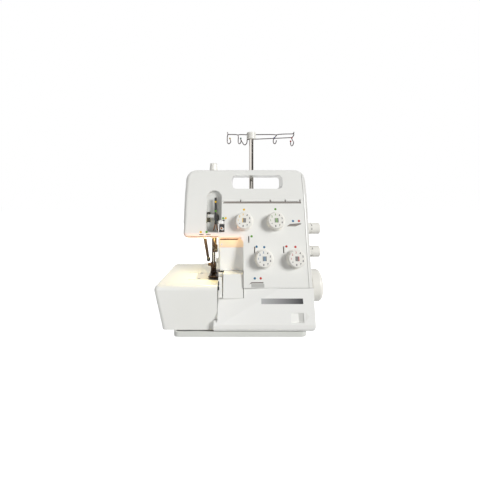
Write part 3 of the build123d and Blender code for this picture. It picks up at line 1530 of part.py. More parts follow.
pieces = {
    "base_plate": base_plate(),
    "rubber_feet": rubber_feet(),
    "frame": frame(),
    "front_cover": front_cover(),
    "rear_cover": rear_cover(),
    "belt_cover": belt_cover(),
    "column_panel": column_panel(),
    "lamp_window": lamp_window(),
    "lamp_bulb": lamp_bulb(),
    "lamp_socket": lamp_socket(),
    "chip_guard": chip_guard(),
    "thread_bracket": thread_bracket(),
    "needle_plate": needle_plate(),
    "bed_cover": bed_cover(),
    "lower_knife": lower_knife(),
    "upper_knife": upper_knife(),
    "upper_looper": upper_looper(),
    "lower_looper": lower_looper(),
    "front_feed_dog": feed_dog(front_feed, (feed_left + feed_right) / 2 + rest_gap / 2, feed_right),
    "rear_feed_dog": feed_dog(rear_feed, feed_left, (feed_left + feed_right) / 2 - rest_gap / 2),
    "shaft_bushes": shaft_bushes(),
    "main_shaft": main_shaft(),
    "handwheel": handwheel(),
    "main_pulley": main_pulley(),
    "motor": motor(),
    "motor_pulley": motor_pulley(),
    "drive_belt": drive_belt(),
    "arm_shaft": arm_shaft(),
    "connecting_rod": connecting_rod(),
    "needle_bar": needle_bar(),
    "needle_clamp": needle_clamp(),
    "needles": needles(),
    "take_up_lever": take_up_lever(),
    "presser_bar": presser_bar(),
    "presser_foot": presser_foot(),
    "presser_lifter": presser_lifter(),
    "presser_spring": presser_spring(),
    "pressure_knob": pressure_knob(),
    "tension_bracket": tension_bracket(),
    "tension_discs": tension_discs(),
    "stitch_length_knob": side_knob(knob_heights["stitch_length"]),
    "differential_feed_knob": side_knob(knob_heights["differential_feed"]),
    "power_inlet": power_inlet(),
    "power_switch": power_switch(),
    "cover_hinge_brackets": cover_hinge_brackets(),
    "hinge_bar": hinge_bar(),
    "looper_cover": looper_cover(),
    "cloth_plate_post": cloth_plate_post(),
    "cloth_plate": cloth_plate(),
    "spool_stand": spool_stand(),
    "spool_pins": spool_pins(),
    "cone_holders": cone_holders(),
    "lower_tube": lower_tube(),
    "upper_tube": upper_tube(),
    "thread_tree": thread_tree(),
    "screws": Compound(
        [screw(place, rear_screw_length) for place in rear_screws]
        + [screw(place, plate_screw_length) for place in plate_screws]
    ),
}
for name in dials:
    pieces[name + "_dial"] = tension_dial(name)

os.makedirs("parts", exist_ok=True)
for name, shape in pieces.items():
    save(name, shape)
print(len(pieces), "pieces written")
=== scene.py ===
# %% [markdown]
# # A domestic overlock machine
# The solid pieces of the machine are already modelled and packed as a frame of named nodes.
# This lesson dresses that frame: it sets up a camera and a soft studio, gives every node a
# finish made of shader nodes, and adds the small printed and bent details that sit on the
# covers. Every length is in metres, in the same axes as the frame, so nothing needs fitting.

import json
import math

import bmesh
import bpy
from mathutils import Matrix, Vector


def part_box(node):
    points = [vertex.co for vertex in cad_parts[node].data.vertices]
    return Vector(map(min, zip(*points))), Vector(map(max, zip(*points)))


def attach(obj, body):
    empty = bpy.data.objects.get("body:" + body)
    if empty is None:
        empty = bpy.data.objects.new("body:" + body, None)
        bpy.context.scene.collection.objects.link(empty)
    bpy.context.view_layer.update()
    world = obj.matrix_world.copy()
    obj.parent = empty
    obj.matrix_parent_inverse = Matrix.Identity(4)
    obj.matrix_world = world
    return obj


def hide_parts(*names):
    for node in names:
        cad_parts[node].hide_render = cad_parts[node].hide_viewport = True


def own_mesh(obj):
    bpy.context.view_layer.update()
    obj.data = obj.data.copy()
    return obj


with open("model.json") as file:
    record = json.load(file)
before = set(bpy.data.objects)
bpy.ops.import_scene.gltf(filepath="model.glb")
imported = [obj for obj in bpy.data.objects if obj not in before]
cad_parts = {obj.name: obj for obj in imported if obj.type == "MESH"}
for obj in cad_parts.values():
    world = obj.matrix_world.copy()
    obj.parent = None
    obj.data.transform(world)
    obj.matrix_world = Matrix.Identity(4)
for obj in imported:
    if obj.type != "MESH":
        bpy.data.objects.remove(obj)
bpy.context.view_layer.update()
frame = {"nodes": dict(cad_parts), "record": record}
nodes = frame["nodes"]
MM = 0.001

# %% [markdown]
# ## The camera
# The picture is taken from close in front, a little below the carrying handle, with the back
# of the camera upright. An upright camera keeps the machine's vertical edges vertical, so the
# frame is slid down with the lens shift and the camera itself is not tilted.

# %% Camera
IMAGE_SIDE = 480
FOCAL_PIXELS = 268.0
VANISHING_POINT = (239.0, 196.0)
EYE = Vector((-6.0, -583.5, 245.0))
lens = bpy.data.cameras.new("studio_camera")
lens.sensor_fit = "HORIZONTAL"
lens.sensor_width = 36.0
lens.lens = lens.sensor_width * FOCAL_PIXELS / IMAGE_SIDE
lens.shift_x = (IMAGE_SIDE / 2 - VANISHING_POINT[0]) / IMAGE_SIDE
lens.shift_y = (VANISHING_POINT[1] - IMAGE_SIDE / 2) / IMAGE_SIDE
lens.clip_start = 0.02
camera = bpy.data.objects.new("studio_camera", lens)
camera.location = EYE * MM
camera.rotation_euler = (math.radians(90), 0, 0)
bpy.context.scene.collection.objects.link(camera)
bpy.context.scene.camera = camera
bpy.context.scene.view_settings.view_transform = "Standard"
print("lens:", round(lens.lens, 1), "mm, shift:", round(lens.shift_x, 3), round(lens.shift_y, 3))

# %% [markdown]
# ## A class for shader maths
# Shader nodes are wired by hand in the editor. In a script it is easier to write
# `1 - mask * 0.4` and let Python add the Math nodes. The class below wraps one output socket:
# its operators add Math nodes, and its `node` method adds a node of any other kind.

# %% Sockets that can be added and multiplied


class Wire:
    """An output socket of a node tree that behaves like a number."""

    def __init__(self, tree, socket=None):
        self.tree = tree
        self.socket = socket

    def node(self, kind, settings=None, values=None, out=0):
        """Add a node, set it up, feed its sockets, and return one of its outputs."""
        made = self.tree.nodes.new(kind)
        for name, value in (settings or {}).items():
            setattr(made, name, value)
        for name, value in (values or {}).items():
            if isinstance(value, Wire):
                self.tree.links.new(value.socket, made.inputs[name])
            else:
                made.inputs[name].default_value = value
        return Wire(self.tree, made.outputs[out] if made.outputs else None)

    def math(self, operation, *operands):
        return self.node("ShaderNodeMath", {"operation": operation}, dict(enumerate(operands)))

    def __add__(self, other):
        return self.math("ADD", self, other)

    def __radd__(self, other):
        return self.math("ADD", other, self)

    def __sub__(self, other):
        return self.math("SUBTRACT", self, other)

    def __rsub__(self, other):
        return self.math("SUBTRACT", other, self)

    def __mul__(self, other):
        return self.math("MULTIPLY", self, other)

    def __rmul__(self, other):
        return self.math("MULTIPLY", other, self)


def linear(red, green, blue):
    """A colour given 0 to 255, as the shader wants it."""
    channels = []
    for value in (red, green, blue):
        value /= 255
        channels.append(value / 12.92 if value <= 0.04045 else ((value + 0.055) / 1.055) ** 2.4)
    return (*channels, 1.0)


print("shader maths ready:", [name for name in vars(Wire) if name.startswith("__r")])

# %% [markdown]
# ## The studio
# A product like this is shot on a white sweep under big soft boxes. The floor is a pale plane
# that catches the shadow. World and floor look white to the camera and in reflections, and light
# the machine more gently than they look, so that the shadows beside the dials stay dark. The
# Light Path node tells these rays apart.

# %% World and floor
world = bpy.data.worlds.new("studio")
bpy.context.scene.world = world
world.use_nodes = True
world.node_tree.nodes.clear()
air = Wire(world.node_tree)
FILL_LIGHT = 0.04
FLOOR_REACH = 4.0
FLOOR_WHITE = (0.86, 0.86, 0.86, 1)
FLOOR_DULL = (0.28, 0.28, 0.28, 1)
FLOOR_GLOW = 0.95


def seen_directly(wire):
    """1 on rays that show the backdrop itself, 0 on rays that carry its light."""
    kinds = []
    for kind in ("Is Camera Ray", "Is Glossy Ray", "Is Transmission Ray"):
        kinds.append(wire.node("ShaderNodeLightPath", out=kind))
    return wire.math("MAXIMUM", wire.math("MAXIMUM", kinds[0], kinds[1]), kinds[2])


sky = air.node(
    "ShaderNodeBackground",
    values={"Color": (1, 1, 1, 1), "Strength": FILL_LIGHT + (1 - FILL_LIGHT) * seen_directly(air)},
)
air.node("ShaderNodeOutputWorld", values={"Surface": sky})

floor_mesh = bpy.data.meshes.new("studio_floor")
floor_shape = bmesh.new()
bmesh.ops.create_grid(floor_shape, x_segments=1, y_segments=1, size=FLOOR_REACH)
floor_shape.to_mesh(floor_mesh)
floor_shape.free()
floor = bpy.data.objects.new("studio_floor", floor_mesh)
bpy.context.scene.collection.objects.link(floor)
paper = bpy.data.materials.new("floor_paper")
paper.use_nodes = True
paper.node_tree.nodes.clear()
sweep = Wire(paper.node_tree)
matt = sweep.node("ShaderNodeBsdfDiffuse", values={"Color": FLOOR_WHITE})
glow = sweep.node("ShaderNodeEmission", values={"Color": (1, 1, 1, 1), "Strength": FLOOR_GLOW})
lit = sweep.node("ShaderNodeAddShader", values={0: matt, 1: glow})
dull = sweep.node("ShaderNodeBsdfDiffuse", values={"Color": FLOOR_DULL})
seen = sweep.node("ShaderNodeMixShader", values={0: seen_directly(sweep), 1: dull, 2: lit})
sweep.node("ShaderNodeOutputMaterial", values={"Surface": seen})
floor_mesh.materials.append(paper)
print("floor and world made")

# %% [markdown]
# ## A dark card
# Polished steel in an all-white room looks like paper. A photographer stands a dark card out of
# the picture, so that a round bar has something dark to mirror down one side. This card shows up
# in mirrored rays only: it throws no shadow and the camera does not see it.

# %% Card for the steel to mirror
card_paint = bpy.data.materials.new("card_black")
card_paint.use_nodes = True
card_paint.node_tree.nodes.clear()
card_wire = Wire(card_paint.node_tree)
CARD_BLACK = (0.03, 0.025, 0.02, 1)
card_matt = card_wire.node("ShaderNodeBsdfDiffuse", values={"Color": CARD_BLACK})
card_wire.node("ShaderNodeOutputMaterial", values={"Surface": card_matt})
CARD_FOOT = ((380, -760), (920, 180))
CARD_HEIGHT = (255, 660)
card_shape = bmesh.new()
corners = []
for (x, y), order in zip(CARD_FOOT, (1, -1)):
    for z in CARD_HEIGHT[::order]:
        corners.append(card_shape.verts.new(Vector((x, y, z)) * MM))
card_shape.faces.new(corners)
card_mesh = bpy.data.meshes.new("dark_card")
card_shape.to_mesh(card_mesh)
card_shape.free()
card_mesh.materials.append(card_paint)
card = bpy.data.objects.new("dark_card", card_mesh)
for sense in ("camera", "diffuse", "shadow", "transmission"):
    setattr(card, "visible_" + sense, False)
bpy.context.scene.collection.objects.link(card)
print("card from", CARD_FOOT[0], "to", CARD_FOOT[1])

# %% [markdown]
# ## Lamps
# The dials throw soft shadows to the lower left, so the main soft box stands to the right, above
# and well in front of the panel. It is far away, which keeps its light even from side to side. A
# near box at the front left fills the other side, one behind lights the back, one overhead lights
# the top, and a low one stands for what the white floor throws back at the lower covers. The
# sewing lamp inside the arm is on: a point lamp beside the bulb gives its yellow light, a wash
# under the arm spreads it over the bed, and a thin strip gives what the lit bed throws back at the
# arm's lower edge. Lamps that glossy covers would mirror as white patches are kept out of them.

# %% Soft boxes and the sewing lamp
WHITE = (1, 1, 1)
SOFT_BOXES = {
    # place and target in millimetres, width and height in metres, watts, colour, mirrored or not
    "key_box": ((3225, -3120, 2058), (25, -80, 170), (1.6, 1.6), 206.0, WHITE, True),
    "front_box": ((-480, -620, 400), (-80, -90, 170), (0.5, 0.5), 0.9, WHITE, True),
    "back_box": ((-900, 1500, 420), (0, 60, 150), (1.4, 1.4), 17.0, WHITE, False),
    "top_box": ((60, 520, 1500), (0, 30, 300), (1.2, 1.2), 4.6, WHITE, False),
    "floor_bounce": ((-260, -620, 30), (-60, -110, 60), (0.6, 0.6), 0.75, WHITE, True),
    "bed_bounce": ((-56, -99, 163), (-56, -96, 171), (0.11, 0.004), 0.008, (1.0, 0.3, 0.08), False),
    "lamp_wash": ((-78, -60, 166), (-104, -48, 97), (0.07, 0.07), 0.026, (1.0, 0.8, 0.44), False),
}


def add_lamp(name, kind, place, power, colour):
    """Lamp of a kind at a place in millimetres, itself unseen by the camera."""
    light = bpy.data.lights.new(name, kind)
    light.energy = power
    light.color = colour
    lamp = bpy.data.objects.new(name, light)
    lamp.location = Vector(place) * MM
    lamp.visible_camera = False
    bpy.context.scene.collection.objects.link(lamp)
    return lamp


for name, (place, target, size, power, colour, mirrored) in SOFT_BOXES.items():
    lamp = add_lamp(name, "AREA", place, power, colour)
    lamp.data.shape = "RECTANGLE"
    lamp.data.size, lamp.data.size_y = size
    aim = (Vector(target) - Vector(place)).normalized()
    lamp.rotation_euler = aim.to_track_quat("-Z", "Y").to_euler()
    lamp.visible_glossy = mirrored

BULB_PLACE = (-66, -72, 159)
BULB_POWER = 0.17
BULB_YELLOW = (1.0, 0.82, 0.36)
BULB_RADIUS = 6.0
sewing_lamp = add_lamp("sewing_lamp", "POINT", BULB_PLACE, BULB_POWER, BULB_YELLOW)
sewing_lamp.data.shadow_soft_size = BULB_RADIUS * MM

# %% [markdown]
# ## Moulded plastic
# The covers are satin off-white mouldings. Up close such a surface is never one flat colour:
# the mould leaves a fine grain, the white drifts a little from place to place, and handling
# polishes it unevenly. Three noise textures at different scales give those three things, and
# all of them read Object coordinates, which for these nodes are real metres.

# %% Finishes for plastic and rubber
finishes = {}
DRIFT_SCALE, POLISH_SCALE, GRAIN_SCALE = 14.0, 60.0, 1400.0
GRAIN_DEPTH = 0.12
POLISH_SPREAD = 0.14
COAT_ROUGHNESS = 0.16


def start_finish(name):
    """Add a material with an empty tree; return its wire and its Object coordinates."""
    material = bpy.data.materials.new(name)
    material.use_nodes = True
    material.node_tree.nodes.clear()
    finishes[name] = material
    wire = Wire(material.node_tree)
    return wire, wire.node("ShaderNodeTexCoord", out="Object")


def noise(wire, spot, scale, detail=3.0, stretch=None):
    """Noise of a given scale per metre, stretched along an axis if asked."""
    if stretch:
        spot = wire.node("ShaderNodeMapping", values={"Vector": spot, "Scale": stretch})
    return wire.node("ShaderNodeTexNoise", values={"Vector": spot, "Scale": scale, "Detail": detail})


def blend(wire, factor, first, second):
    """Mix of two colours."""
    return wire.node(
        "ShaderNodeMix",
        {"data_type": "RGBA"},
        {"Factor": factor, "A": first, "B": second},
        out="Result",
    )


def ramp_along(wire, spot, axis, start, end):
    """0 to 1 between two places along an axis, in millimetres."""
    along = wire.node("ShaderNodeSeparateXYZ", values={0: spot}, out=axis)
    return wire.node(
        "ShaderNodeMapRange",
        values={"Value": along, "From Min": start * MM, "From Max": end * MM},
    )


def bumps(wire, height, strength, depth):
    """Small bumps of a depth in millimetres where a texture is high."""
    return wire.node(
        "ShaderNodeBump",
        values={"Strength": strength, "Distance": depth * MM, "Height": height},
    )


def surface(wire, **sockets):
    """Close a finish with the general shader, its sockets named with underscores."""
    values = {name.replace("_", " "): value for name, value in sockets.items()}
    shader = wire.node("ShaderNodeBsdfPrincipled", values=values)
    wire.node("ShaderNodeOutputMaterial", values={"Surface": shader})


def moulded(name, colour, drift, roughness, grain, coat=0.0):
    """Plastic or rubber: fine grain, slow drift of colour, uneven polish."""
    wire, spot = start_finish(name)
    slow = noise(wire, spot, DRIFT_SCALE)
    polish = noise(wire, spot, POLISH_SCALE, 4.0)
    fine = noise(wire, spot, GRAIN_SCALE, 2.0)
    surface(
        wire,
        Base_Color=blend(wire, slow, colour, drift),
        Roughness=roughness + (polish - 0.5) * POLISH_SPREAD,
        Normal=bumps(wire, fine, grain, GRAIN_DEPTH),
        Coat_Weight=coat,
        Coat_Roughness=COAT_ROUGHNESS,
    )


moulded("body_white", linear(238, 238, 234), linear(233, 233, 228), 0.34, 0.10, 0.35)
moulded("cover_white", linear(243, 243, 240), linear(239, 239, 235), 0.32, 0.10, 0.4)
# Painted shade: the side cover is made a little darker than the body for the dimmer light on that
# side.
moulded("side_white_shaded", linear(220, 220, 216), linear(214, 214, 209), 0.36, 0.10, 0.2)
moulded("base_grey", linear(224, 225, 220), linear(215, 217, 211), 0.46, 0.16)
moulded("knob_white", linear(240, 238, 231), linear(234, 232, 225), 0.34, 0.08, 0.2)
moulded("liner_grey", linear(222, 223, 219), linear(213, 214, 210), 0.4, 0.12)
# Painted shade: grey for the tray that stands for the recess under the lower guide.
moulded("tray_painted_shade", linear(190, 190, 186), linear(176, 176, 172), 0.4, 0.12)
# Painted shade: brown for the vent's opening, warmed by the lamp.
moulded("vent_painted_shade", linear(112, 66, 30), linear(84, 46, 20), 0.5, 0.2)
# Painted shade: grey for the strips behind the thread channels and the marks in the notches.
moulded("painted_shade_grey", linear(148, 141, 135), linear(128, 122, 117), 0.5, 0.15)
moulded("foot_rubber", linear(52, 52, 52), linear(38, 38, 40), 0.78, 0.5)
moulded("belt_rubber", linear(46, 46, 48), linear(32, 32, 34), 0.7, 0.6)
moulded("black_plastic", linear(34, 33, 33), linear(20, 20, 21), 0.42, 0.25)
print("plastics:", sorted(finishes))

# %% [markdown]
# ## Metal and glass
# Bars and plates are ground steel, so their noise is stretched into fine lines. The casting
# is rough and speckled. The bulb and its window are the only pieces that light passes
# through. Both also glow. The bulb glows as the lamp itself; the window's weaker glow, warmer at
# its foot, is painted light for the bulb's light shining through it.

# %% Finishes for metal and glass
LINE_SCALE, PATCH_SCALE, HAZE_SCALE = 900.0, 45.0, 120.0
LINE_DEPTH = 0.08
WINDOW_LOW, WINDOW_HIGH = 151.0, 163.0
GLASS_IOR = 1.46


def ground_metal(name, colour, dull, roughness, stretch, grain, streak=0.16):
    """Metal with fine lines along one axis and slightly dull patches."""
    wire, spot = start_finish(name)
    lines = noise(wire, spot, LINE_SCALE, 2.0, stretch)
    patches = noise(wire, spot, PATCH_SCALE, 4.0)
    surface(
        wire,
        Base_Color=blend(wire, patches, colour, dull),
        Metallic=1.0,
        Roughness=roughness + (lines - 0.5) * streak,
        Normal=bumps(wire, lines, grain, LINE_DEPTH),
    )


ground_metal("bright_steel", linear(206, 204, 200), linear(178, 176, 172), 0.26, (1, 1, 0.06), 0.2)
ground_metal(
    "tube_chrome", linear(194, 189, 183), linear(182, 177, 171), 0.06, (1, 1, 0.03), 0.0, 0.01,
)
ground_metal("wire_steel", linear(104, 98, 97), linear(78, 73, 73), 0.22, (1, 1, 1), 0.1)
ground_metal("lamp_brass", linear(150, 98, 52), linear(96, 58, 30), 0.35, (1, 1, 0.2), 0.2)
# Painted shade and painted lamp light: steel made dark and warm brown for the parts under the arm.
ground_metal("shaded_lamplit_steel", linear(88, 70, 55), linear(30, 26, 24), 0.26, (1, 0.1, 1), 0.2)
ground_metal("satin_steel", linear(236, 232, 222), linear(222, 217, 206), 0.5, (0.08, 1, 1), 0.25)
ground_metal("bush_bronze", linear(196, 152, 92), linear(160, 118, 66), 0.42, (0.1, 1, 1), 0.3)
ground_metal("cast_alloy", linear(168, 170, 172), linear(140, 142, 145), 0.55, (1, 1, 1), 0.8)


def lit_glass(name, colour, drift, roughness, transmission, glow_low, glow_high, glow_strength):
    """Clear or frosted piece with a glow that changes from its lower edge to its upper edge."""
    wire, spot = start_finish(name)
    haze = noise(wire, spot, HAZE_SCALE)
    rise = ramp_along(wire, spot, "Z", WINDOW_LOW, WINDOW_HIGH)
    surface(
        wire,
        Base_Color=blend(wire, haze, colour, drift),
        Roughness=roughness + (haze - 0.5) * 0.1,
        Transmission_Weight=transmission,
        IOR=GLASS_IOR,
        Emission_Color=blend(wire, rise + (haze - 0.5) * 0.3, glow_low, glow_high),
        Emission_Strength=glow_strength,
    )


lit_glass(
    "lamp_glass", linear(255, 243, 214), linear(255, 236, 196), 0.3, 0.6,
    linear(255, 224, 160), linear(255, 240, 200), 2.0,
)
# Painted light: the window glows, warmer at its foot, for the bulb's light shining through.
lit_glass(
    "lens_clear", linear(250, 232, 206), linear(248, 226, 196), 0.35, 0.25,
    linear(250, 206, 168), linear(252, 238, 176), 0.2,
)
print("metals and glass:", len(finishes), "finishes in all")

# %% [markdown]
# ## The take-up lever
# The lever is black where it shows in its slot, and the arm that carries it from behind is bare
# pale metal. Both are one solid, so one finish has both colours and changes from the one to the
# other at a place across X.

# %% Two-tone finish
TONE_EDGE = (-53.4, -53.0)
SMEAR_SCALE = 300.0
wire, spot = start_finish("lever_black")
face_side = ramp_along(wire, spot, "X", *TONE_EDGE)
smear = noise(wire, spot, SMEAR_SCALE)
surface(
    wire,
    Base_Color=blend(wire, face_side, linear(206, 206, 202), linear(12, 12, 13)),
    Roughness=0.5 + (smear - 0.5) * 0.2,
)
print("lever finish made")

# %% [markdown]
# ## Give the nodes their finishes
# The packed record says which finish slot each node has. The slots are named for the
# finishes above, so one loop dresses the whole frame. The bars, the clamp, the foot and the
# lifter get a dark brown steel: painted shade, with the sewing lamp's warm light painted in. The
# needle plate is brushed to a satin. The side cover is painted a shade less white than the rest:
# painted shade for the dimmer light on that side. The panel beside the needle is as white as the
# loose covers.

# %% Dress the frame
slot_of = {row["node"]: row["material_slot"] for row in frame["record"]["subparts"]}
SPECIAL_FINISH = {
    # Painted shade: the side cover's darker white.
    "belt_cover": "side_white_shaded",
    "take_up_lever": "lever_black",
    # Painted shade and painted lamp light: dark brown steel round the needle.
    "presser_lifter": "shaded_lamplit_steel",
    "presser_foot": "shaded_lamplit_steel",
    "needle_clamp": "shaded_lamplit_steel",
    "presser_bar": "shaded_lamplit_steel",
    "needle_bar": "shaded_lamplit_steel",
    "needle_plate": "satin_steel",
    "column_panel": "cover_white",
}
for name, node in nodes.items():
    node.data.materials.clear()
    node.data.materials.append(finishes[SPECIAL_FINISH.get(name, slot_of[name])])
print("dressed", len(slot_of), "nodes in", len(set(slot_of.values())), "finishes")

# %% [markdown]
# ## Laying things on the leaning panel
# The front panel leans back, so everything printed on it has to lean with it. A matrix whose
# columns are "across", "up the panel" and "out of the panel" does that once for all: a flat
# shape drawn at the origin lands on the panel when it is multiplied by the matrix. Two shapes
# come up again and again, a round pad and a flat slab, so each of them has a function.

# %% Places and pieces
LEAN = math.radians(14.5)
PANEL_FOOT = (-131.0, 27.0)
FACING = Matrix.Rotation(math.radians(90), 4, "X")
RIM_SHARE = 0.6


def leaning_place(foot, lean, x, z, out=0.0):
    """Place on a face that leans back from a foot line, in millimetres, as a matrix in metres."""
    across = Vector((1, 0, 0))
    up = Vector((0, math.sin(lean), math.cos(lean)))
    away = across.cross(up)
    y = foot[0] + (z - foot[1]) * math.tan(lean)
    place = Matrix((across, up, away)).transposed().to_4x4()
    place.translation = (Vector((x, y, z)) + away * out) * MM
    return place


def panel_place(x, z, out=0.0):
    """Place on the leaning front panel."""
    return leaning_place(PANEL_FOOT, LEAN, x, z, out)


def upright(x, y, z):
    """Place for a flat shape that stands upright and faces the front, in millimetres."""
    return Matrix.Translation(Vector((x, y, z)) * MM) @ FACING


def oblong(half_width, half_height):
    """Corners of a rectangle about the origin."""
    return (
        (-half_width, -half_height), (half_width, -half_height),
        (half_width, half_height), (-half_width, half_height),
    )


def add_piece(name, shape, body, slot, *finish_names):
    """Turn a bmesh into a finished object that moves with a body."""
    mesh = bpy.data.meshes.new(name)
    bmesh.ops.recalc_face_normals(shape, faces=shape.faces)
    shape.to_mesh(mesh)
    shape.free()
    for finish in finish_names:
        mesh.materials.append(finishes[finish])
    piece = bpy.data.objects.new(name, mesh)
    bpy.context.scene.collection.objects.link(piece)
    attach(piece, body)
    print(name, "has", len(mesh.polygons), "faces on", body)
    return piece


def paint(shape, old_faces, index):
    """Give every face that is not among the old ones the material with this index."""
    for face in shape.faces:
        if face not in old_faces:
            face.material_index = index


def soften(shape, edges, width):
    """Bevel edges round, by a width in millimetres."""
    bmesh.ops.bevel(
        shape, geom=edges, offset=width * MM, segments=2, profile=0.5, affect="EDGES", material=-1,
    )


def pad(shape, place, radius, height, index=0, segments=28):
    """Small round pad of ink or enamel with a softened rim."""
    old_faces = set(shape.faces)
    lift = Matrix.Translation((0, 0, height * MM / 2))
    made = bmesh.ops.create_cone(
        shape, cap_ends=True, segments=segments, radius1=radius * MM, radius2=radius * MM,
        depth=height * MM, matrix=place @ lift,
    )
    away = place.to_3x3() @ Vector((0, 0, 1))
    middle = (place @ lift).translation
    rim = []
    for edge in {edge for vert in made["verts"] for edge in vert.link_edges}:
        if all((vert.co - middle).dot(away) > 0 for vert in edge.verts):
            rim.append(edge)
    soften(shape, rim, height * RIM_SHARE)
    paint(shape, old_faces, index)


def slab(shape, place, corners, height, index=0, round_off=0.0):
    """Flat plate of any outline, in millimetres, with its upper edges rounded."""
    old_faces = set(shape.faces)
    verts = [shape.verts.new(place @ Vector((x * MM, y * MM, 0))) for x, y in corners]
    lower = shape.faces.new(verts)
    away = place.to_3x3() @ Vector((0, 0, height * MM))
    made = bmesh.ops.extrude_face_region(shape, geom=[lower], use_keep_orig=True)
    top = [item for item in made["geom"] if isinstance(item, bmesh.types.BMVert)]
    bmesh.ops.translate(shape, verts=top, vec=away)
    if round_off:
        edges = [e for e in shape.edges if e.verts[0] in top and e.verts[1] in top]
        soften(shape, edges, round_off)
    paint(shape, old_faces, index)


print("panel leans", round(math.degrees(LEAN), 1), "degrees")

# %% [markdown]
# ## Inks
# Threading marks are printed in four colours, one for each thread, and numbers in grey. Ink is
# not perfectly even, so each gets a little noise in its colour and its gloss.

# %% Ink finishes
INKS = {
    "ink_yellow": (238, 194, 20),
    "ink_green": (88, 150, 36),
    "ink_blue": (8, 100, 140),
    "ink_red": (188, 42, 22),
    "ink_grey": (66, 66, 70),
    "bead_yellow": (176, 150, 44),
    "bead_green": (10, 92, 76),
    "bead_blue": (18, 28, 96),
    "bead_red": (150, 24, 26),
}
THIN_INK = 0.92
for name, colour in INKS.items():
    thinner = [channel * THIN_INK for channel in colour]
    moulded(name, linear(*colour), linear(*thinner), 0.45, 0.05)
print("inks:", list(INKS))

# %% [markdown]
# ## Threading marks
# Each thread path is marked by dots of its own colour beside the guides it runs through. They
# are printed pads, thin and slightly domed, so pads with a bevelled rim do.

# %% Dots on the covers
THREAD_DOTS = {
    "ink_yellow": ((3.4, 219.5), (-30.7, 203.7), (-76.1, 178.9)),
    "ink_green": ((62.2, 220.3), (-35.4, 203.7), (-65.5, 178.9), (17.0, 171.3)),
    "ink_blue": ((39.6, 152.4), (94.1, 198.6), (25.9, 153.2), (21.8, 100.1)),
    "ink_red": ((96.1, 152.9), (105.1, 198.6), (79.8, 153.7), (32.2, 100.1)),
}
DOT_RADIUS, DOT_HEIGHT = 2.1, 0.25
dots = bmesh.new()
for index, spots in enumerate(THREAD_DOTS.values()):
    for x, z in spots:
        pad(dots, panel_place(x, z), DOT_RADIUS, DOT_HEIGHT, index)
add_piece("threading_dots", dots, "housing", "black_plastic", *THREAD_DOTS)

# %% [markdown]
# ## Dial faces
# Nine numbers stand round the face of every tension dial. The three lightest settings are in
# the thread's colour. In the middle is a small block of upright strokes, a plain picture of
# stitches. The numbers start as text, are made a mesh, and are then set in place one by one.

# %% Numbers and stitch strokes
DIAL_HEIGHT = 16.0
DIALS = {
    "left_needle": (3.2, 201.4, "ink_yellow", (1, 0, 0, 0)),
    "right_needle": (61.5, 201.4, "ink_green", (0, 1, 1, 0)),
    "upper_looper": (38.5, 136.2, "ink_blue", (0, 1, 1, 0)),
    "lower_looper": (95.2, 136.2, "ink_red", (0, 0, 0, 1)),
}
NUMBER_COUNT, COLOURED_COUNT = 9, 3
NUMBER_STEP = 40
NUMBER_RING = 10.6
NUMBER_SIZE = 4.6
PRINT_THICKNESS, PRINT_BOLD = 0.04, 0.12
STROKE_HALF = (0.65, 4.0)
STROKE_FIRST, STROKE_STEP = -2.65, 1.75
STROKE_HEIGHT, STROKE_ROUND = 0.12, 0.05


def text_mesh(words, size):
    """A short text as a thin flat mesh, centred on the origin."""
    curve = bpy.data.curves.new(words, "FONT")
    curve.body = words
    curve.size = size * MM
    curve.extrude = PRINT_THICKNESS * MM
    curve.offset = PRINT_BOLD * MM
    curve.align_x = "CENTER"
    curve.align_y = "CENTER"
    holder = bpy.data.objects.new(words, curve)
    mesh = bpy.data.meshes.new_from_object(holder)
    bpy.data.objects.remove(holder)
    bpy.data.curves.remove(curve)
    return mesh


def print_text(shape, words, size, place, index):
    """Set a text on a bmesh at a place, in one of its materials."""
    mesh = text_mesh(words, size)
    first_vert = len(shape.verts)
    old_faces = set(shape.faces)
    shape.from_mesh(mesh)
    bpy.data.meshes.remove(mesh)
    shape.verts.ensure_lookup_table()
    bmesh.ops.transform(shape, matrix=place, verts=shape.verts[first_vert:])
    paint(shape, old_faces, index)


for name, (x, z, ink, strokes) in DIALS.items():
    face_place = panel_place(x, z - DIAL_HEIGHT * math.sin(LEAN), DIAL_HEIGHT)
    marks = bmesh.new()
    for step in range(NUMBER_COUNT):
        angle = math.radians(180 - NUMBER_STEP * step)
        spot = Vector((math.cos(angle), math.sin(angle), 0)) * NUMBER_RING * MM
        number_place = face_place @ Matrix.Translation(spot)
        print_text(marks, str(step + 1), NUMBER_SIZE, number_place, 1 if step < COLOURED_COUNT else 0)
    for stroke, colour in enumerate(strokes):
        shift = Vector((STROKE_FIRST + STROKE_STEP * stroke, 0, 0)) * MM
        stroke_place = face_place @ Matrix.Translation(shift)
        slab(marks, stroke_place, oblong(*STROKE_HALF), STROKE_HEIGHT, colour, STROKE_ROUND)
    add_piece(name + "_numbers", marks, name + "_tension", "black_plastic", "ink_grey", ink)

# %% [markdown]
# ## Numbers on the side knobs
# The two setting knobs on the right turn about an axis that points sideways, so their numbers
# run round a cylinder. Each number is flat at first. Its height is then wound round the
# knob: the distance up becomes an angle, which keeps the strokes on the curved wall.

# %% Wound numbers
KNOB_AXIS_Y = -68.5
KNOB_RADIUS = 10.8
KNOB_NUMBERS_X = 131.0
KNOB_NUMBER_SIZE = 5.0
KNOB_NUMBER_LIFT = 0.03
KNOB_NUMBER_STEP = 38
SIDE_KNOBS = {
    "stitch_length": (183.0, ("1", "2", "3", "4", "5")),
    "differential": (139.0, ("0.7", "1", "1.5", "2")),
}


